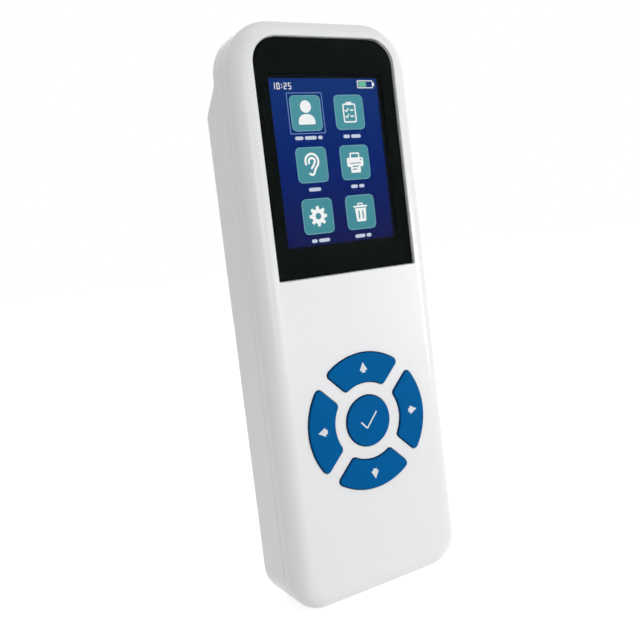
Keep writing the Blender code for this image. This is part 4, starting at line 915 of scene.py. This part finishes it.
def digit(text, x, z):
    # a bar for each stroke in use, about the digit's middle
    w, h, s = clock["width"], clock["height"], clock["stroke"]
    places = [(0, h / 2), (-w / 2, h / 4), (w / 2, h / 4), (0, 0), (-w / 2, -h / 4), (w / 2, -h / 4),
              (0, -h / 2)]
    return [bar(x + dx, z + dz, *((s, h / 2 + s) if dx else (w + s, s)))
            for (dx, dz), used in zip(places, digitStrokes[text]) if used == "1"]


def placed(shape, x, z):
    return tuple(placed(ring, x, z) for ring in shape) if isinstance(shape, tuple) else shape + (x, z)


def makeTiles(top):
    size, rim, corner, gap = tiles["size"], tiles["rim"], tiles["corner"], tiles["labelGap"]
    rims, grounds, marks, details, words = [], [], [], [], []
    for number, (draw, widths) in enumerate(drawings.items()):
        x = tiles["columns"] * (1 if number % 2 else -1)
        z = top - tiles["firstRow"] - size / 2 - (number // 2) * tiles["pitch"]
        rims.append(bar(x, z, size, size, corner, tiles["cornerSteps"]))
        grounds.append(bar(x, z, size - 2 * rim, size - 2 * rim, corner - rim, tiles["cornerSteps"]))
        for shapes, drawn in zip((marks, details), draw()):
            shapes.extend(placed(shape, x, z) for shape in drawn)
        left = x - (sum(widths) + gap * (len(widths) - 1)) / 2
        for width in widths:
            words.append(bar(left + width / 2, z - size / 2 - tiles["labelDrop"], width, tiles["labelHeight"]))
            left += width + gap
    layer("tileRims", rims, 1, "tile edge")
    layer("tileGrounds", grounds, 2, "tile ground")
    layer("tileMarks", marks, 3, "picture white")
    layer("tileMarkDetails", details, 4, "tile ground")
    layer("tileLabels", words, 1, "picture label")
    side, z = size + 2 * tiles["frameMargin"], top - tiles["firstRow"] - size / 2
    frameShape = barHoop(-tiles["columns"], z, side, side, tiles["frameCorner"], tiles["frameStroke"])
    layer("choiceFrame", [frameShape], 1, "picture line")


def makeClock(left, top):
    shapes, x, z = [], left + clock["left"] + clock["width"] / 2, top - clock["drop"]
    for letter in clock["text"]:
        if letter == ":":
            x += (clock["colonPitch"] - clock["pitch"]) / 2
            dot, rise = clock["stroke"] * clock["dotShare"], clock["height"] / 4
            shapes += [disc(x, z + side * rise, dot, clock["dotSteps"]) for side in (-1, 1)]
            x += (clock["colonPitch"] + clock["pitch"]) / 2
        else:
            shapes += digit(letter, x, z)
            x += clock["pitch"]
    layer("clockDigits", shapes, 1, "picture white")


def makeGauge(right, top):
    width, height, nub, line = (gauge[key] for key in ("width", "height", "nub", "stroke"))
    x, z = right - gauge["right"] - nub - width / 2, top - gauge["drop"]
    layer("chargeOutline", [
        barHoop(x, z, width, height, gauge["corner"], line),
        bar(x + width / 2 + nub / 2, z, nub, height * gauge["nubShare"], gauge["softCorner"])],
        1, "picture white")
    room = width - gauge["sideRoom"] * line
    fill = room * gauge["fill"]
    level = bar(x - room / 2 + fill / 2, z, fill, height - gauge["topRoom"] * line, gauge["softCorner"])
    layer("chargeLevel", [level], 1, "picture green")


def makePicture():
    low, high = np.array(pictureBox) / millimetre
    (x, _, z), (width, _, height) = (low + high) / 2, high - low
    ground = bar(x, z, width, height, layers["groundCorner"], layers["groundSteps"])
    layer("pictureGround", [ground], 0, "picture ground")
    makeTiles(high[2])
    makeClock(low[0], high[2])
    makeGauge(high[0], high[2])


finishes.update({name: screenLight(name, *colours) for name, colours in screenLights.items()})
makePicture()
print("picture made")


# Keys and their printed marks, which are drawn in millimetres

arrow = np.array([(0, 1.95), (-1.60, -0.90), (-0.85, -1.00), (-0.70, -1.70), (0.70, -1.70), (0.85, -1.00),
                  (1.60, -0.90)])
tick = {"line": np.array([(-3.2, -0.1), (-1.1, -2.4), (3.3, 2.6)]), "width": 0.55,
        "shortSteps": 5, "longSteps": 8}


def paintRimShade(target, topPlace, reach):
    # the rim attribute, which sets how much shade is painted on a key's edge: none on the flat top, full at
    # reach below it
    places = np.empty(len(target.data.vertices) * 3, np.float32)
    target.data.vertices.foreach_get("co", places)
    rim = np.clip((places[1::3] - topPlace) / reach, 0, 1)
    target.data.attributes.new("rim", "FLOAT", "POINT").data.foreach_set("value", rim.astype(np.float32))


def makeKey(node, outline, place, mark, innerRows=()):
    # a cap with a flat top, a rolled edge, a side wall and a flange, on a post, and its mark
    body = node.replace("_key", "")
    low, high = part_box(node)
    top = low.y + keypad["markRelief"]
    flangeFront = frontY + frontWall + clearance
    flangeBack = flangeFront + keypad["flangeThickness"]
    edge, width = keypad["edgeRound"], keypad["flangeWidth"]
    rows = [*((inset, top) for inset in innerRows),
            *((inset, top + drop) for inset, drop in keypad["faceRows"]),
            *quarterRound(edge, keypad["edgeSteps"], 0, top + keypad["edgeDrop"]),
            (0, flangeFront), (-width, flangeFront), (-width, flangeBack), (keypad["backRow"], flangeBack)]
    made = solid(f"{body}Key", sweep(outline, rows))
    post = rod("post", place, keypad["postRadius"], frontY + frontWall + keypad["postStart"], high.y,
               keypad["postSteps"])
    combine(made, [post], "UNION")
    # paint shade on the rolled edge, deeper further down it
    paintRimShade(made, top + keypad["rimStart"], edge * keypad["rimReach"])
    dress(made, "matte blue keys", node, body)
    mark = placed(mark, *np.divide(place, millimetre))
    layer(f"{body}KeyMark", [mark], 0, "silver key marks", body, top)


def makeKeys():
    radius = (keypad["ringOuter"] + keypad["ringInner"]) / 2
    for node, quarter in ringKeys.items():
        place = onCircle(keypadMiddle, radius, 90 * (quarter + 1))
        makeKey(node, sectorOutline(quarter), place, quarterTurns(arrow, quarter))
    start, bend, end = tick["line"]
    path = np.concatenate([np.linspace(start, bend, tick["shortSteps"] + 1),
                           np.linspace(bend, end, tick["longSteps"] + 1)[1:]])
    makeKey("ok_key", circleOutline(keypadMiddle, keypad["okRadius"], keypad["okSteps"]), keypadMiddle,
            stroke(path, tick["width"]), [keypad["okInnerRow"]])


makeKeys()
print("keys made")


# Sockets at the ends

def makeProbeSocket():
    # a turned barrel with a key inside, a turned insert with a ring of holes, and a sleeve in each hole
    low, high = socketBox
    flange = flangeRadius
    outer = flange - socket["flangeWidth"]
    bore, neck = outer - socket["wall"], outer - socket["groove"]
    soft = socket["chamfer"]
    flangeLow = high.z - socket["flangeThickness"]
    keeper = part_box("probe_socket_keeper")
    grooveLow, grooveHigh = keeper[0].z - socket["keeperGap"], keeper[1].z + socket["keeperGap"]
    profile = [(bore, high.z - soft), (bore + soft, high.z), (flange - soft, high.z), (flange, high.z - soft),
               (flange, flangeLow), (outer, flangeLow), (outer, grooveHigh), (neck, grooveHigh),
               (neck, grooveLow), (outer, grooveLow), (outer, low.z + soft), (outer - soft, low.z),
               (bore, low.z)]
    barrel = solid("probeSocket", turned(profile, socketCentre, "Z"), closed=True)
    insertLow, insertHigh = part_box("probe_socket_insert")
    halfKey = socket["keyWidth"] / 2
    key = block("key", (-halfKey, socketMiddle.y + bore - socket["keyDepth"], insertHigh.z + clearance),
                (halfKey, socketMiddle.y + (bore + neck) / 2, flangeLow), socket["keyCorner"])
    combine(barrel, [key], "UNION")
    dress(barrel, "nickel plate", "probe_socket")
    radius = (insertHigh.x - insertLow.x) / 2
    insert = solid("probeInsert", turned([(radius, insertLow.z), (radius, insertHigh.z - soft),
                                          (radius - soft, insertHigh.z)], socketCentre, "Z"))
    pinRadius, holeFloor, steps = socket["pinRadius"], insertHigh.z - socket["pinDepth"], socket["pinSteps"]
    outerRadius = pinRadius - socket["sleeveGap"]
    innerRadius = outerRadius - socket["sleeveWall"]
    top, bottom = insertHigh.z - socket["sleeveSink"], holeFloor + socket["sleeveSink"]
    sleeve = [(innerRadius, top), (outerRadius, top), (outerRadius, bottom), (innerRadius, bottom)]
    holes, sleeves, faces = [], [], []
    for number in range(socket["pins"]):
        angle = 360 * (number + 0.5) / socket["pins"]
        place = onCircle(socketCentre, socket["pinCircle"], angle)
        holes.append(pillar("pin hole", place, pinRadius, holeFloor, insertHigh.z + overrun / 2, steps))
        sleeves.append(turned(sleeve, place, "Z", steps))
        faces.append(gridFaces(len(sleeve), steps, True) + number * len(sleeve) * steps)
    combine(insert, holes)
    dress(insert, "black nylon", "probe_socket_insert")
    contacts = piece("probeContacts", np.concatenate(sleeves), np.concatenate(faces).tolist())
    dress(contacts, "gold plate")


def makeChargingSocket():
    # a drawn tube with rounded ends, open downwards
    low, high = chargingBox
    wall, soft = charging["wall"], charging["chamfer"]
    tube = solid("chargingSocket", chargingTube([
        (wall, low.z + soft), (wall - soft, low.z), (soft, low.z), (0, low.z + soft),
        (0, high.z), (wall, high.z), (wall, high.z - wall)]), closed=True)
    rearWall = solid("rear wall", chargingTube([(wall / 2, high.z - wall), (wall / 2, high.z)]))
    combine(tube, [rearWall], "UNION")
    dress(tube, "zinc plated steel", "usb_socket")


makeProbeSocket()
makeChargingSocket()
print("sockets made")


# Screws that show: a rounded head with a crossed recess on a plain shank

screws = {
    "recess": 0.0006, "recessWidth": 0.0006, "recessCorner": 0.0001, "lengthShare": 0.62,
    "domeSteps": 6, "domeShare": 0.45, "crownShare": 0.28, "tipShare": 0.35}


def makeScrew(node, kind):
    # turned from a profile whose crown is a quarter ellipse, less two crossed slots
    low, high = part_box(node)
    x, z = middle(node).xz
    shank, seat = kind["shank"], high.y - kind["headHeight"]
    head, dome = (high.x - low.x) / 2, kind["headHeight"] * screws["domeShare"]
    angles = np.radians(np.linspace(0, 90, screws["domeSteps"] + 1))
    crown = np.column_stack([head * (1 - screws["crownShare"] * (1 - np.cos(angles))),
                             high.y - dome + dome * np.sin(angles)])
    profile = [(shank * screws["tipShare"], low.y), (shank, low.y + shank), (shank, seat), (head, seat), *crown]
    made = solid(f"{node}Piece".replace("_", ""), turned(profile, (x, z), "Y", headSteps))
    reach, half = head * screws["lengthShare"], screws["recessWidth"] / 2
    combine(made, [block("slot", (x - across, high.y - screws["recess"], z - up),
                         (x + across, high.y + overrun / 2, z + up), screws["recessCorner"])
                   for across, up in ((reach, half), (half, reach))])
    dress(made, "zinc plated steel", node, kind["body"])


for start, kind in (("case_screw", caseScrew), ("cover_screw", coverScrew)):
    for node in namesFrom(start):
        makeScrew(node, kind)
print("screws made")


# Finishes of the frame's own nodes that stay

carried = {
    "black foam": "lens_tape display_foam",
    "display glass": "lcd_glass",
    "backlight diffuser": "lcd_backlight",
    "amber film": "lcd_flex",
    "grey silicone": "keypad_mat up_dome left_dome down_dome right_dome ok_dome probe_ribbon",
    "green resist": "main_board",
    "chip epoxy": "processor_chip audio_codec_chip memory_chip power_inductor charger_chip",
    "black nylon": "lcd_connector buzzer clock_cell_holder contact_block probe_connector usb_contact_blade",
    "zinc plated steel": "lcd_tray clock_crystal radio_shield clock_cell capacitor probe_socket_keeper",
    "gold plate": "battery_contact_1 battery_contact_2 battery_contact_3",
    "battery film": "battery_pack",
}
for finish, nodes in carried.items():
    for node in nodes.split() + (namesFrom("board_screw") if finish == "zinc plated steel" else []):
        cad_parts[node].material_slots[0].material = finishes[finish]
print("finishes set")


# Floor, light and camera

studio = {
    "floorSize": 8.0, "floorColour": (0.90, 0.90, 0.90), "ambient": 0.455,
    "floorLift": 0.62,      # what the camera sees added to the floor, so that it ends in white
}
# each lamp: where it stands, its width and height, and its power; the camera sees none of them mirrored
# in the window
lamps = {
    "key light": ((0.50, -0.42, 0.070), (0.16, 0.13), 1.15),
    "front light": ((0.14, -0.64, 0.045), (0.22, 0.07), 0.38),
    "strip light": ((-0.44, -0.82, 0.16), (0.08, 0.30), 0.85),
    "back light": ((0.35, 0.95, 0.40), (0.45, 0.45), 2.2),
    "top light": ((0.00, -0.20, 1.30), (0.80, 0.80), 2.0),
}
cameraSet = {"lens": 43.7, "shift": -0.0312, "nearest": 0.01,
             "place": (-0.1451, -0.2384, 0.1261), "turn": (85.58, 6.77, -30.74)}


def seenWhite(tree):
    # one for rays from the camera, from gloss and through glass, else zero
    rays = newNode(tree, "LightPath", output=None)
    seen = calculate(tree, "MAXIMUM", rays["Is Camera Ray"], rays["Is Glossy Ray"])
    return calculate(tree, "MAXIMUM", seen, rays["Is Transmission Ray"])


def makeFloor():
    corners = np.array([(-1, -1, 0), (1, -1, 0), (1, 1, 0), (-1, 1, 0)]) * studio["floorSize"] / 2
    floor = piece("floor", corners, [(0, 1, 2, 3)])
    material, tree, inputs = newMaterial("pale floor", {
        "Base Color": (*studio["floorColour"], 1), "Roughness": 0.9, "Specular IOR Level": 0.0,
        "Emission Color": (1, 1, 1, 1)})
    plug(tree, inputs, {"Emission Strength": calculate(tree, "MULTIPLY", seenWhite(tree), studio["floorLift"])})
    floor.data.materials.append(material)


def makeWorld():
    world = bpy.data.worlds.new("studio")
    bpy.context.scene.world = world
    world.use_nodes = True
    tree = world.node_tree
    strength = calculate(tree, "MAXIMUM", seenWhite(tree), studio["ambient"])
    plug(tree, tree.nodes["Background"].inputs, {"Color": (1, 1, 1, 1), "Strength": strength})


def stand(name, data, place):
    holder = bpy.data.objects.new(name, data)
    bpy.context.scene.collection.objects.link(holder)
    holder.location = place
    return holder


def makeLamp(name, place, size, power):
    lamp = bpy.data.lights.new(name, "AREA")
    lamp.shape = "RECTANGLE"
    lamp.size, lamp.size_y = size
    lamp.energy = power
    aim = Vector((0, 0, bodyHeight / 2)) - Vector(place)
    stand(name, lamp, place).rotation_euler = aim.to_track_quat("-Z", "Y").to_euler()


def makeCamera():
    data = bpy.data.cameras.new("camera")
    data.lens = cameraSet["lens"]
    data.shift_y = cameraSet["shift"]
    data.clip_start = cameraSet["nearest"]
    holder = stand("camera", data, cameraSet["place"])
    holder.rotation_euler = Euler([math.radians(angle) for angle in cameraSet["turn"]], "XYZ")
    bpy.context.scene.camera = holder


makeFloor()
makeWorld()
for name, values in lamps.items():
    makeLamp(name, *values)
makeCamera()
bpy.context.scene.view_settings.view_transform = "Standard"
print("stage set")
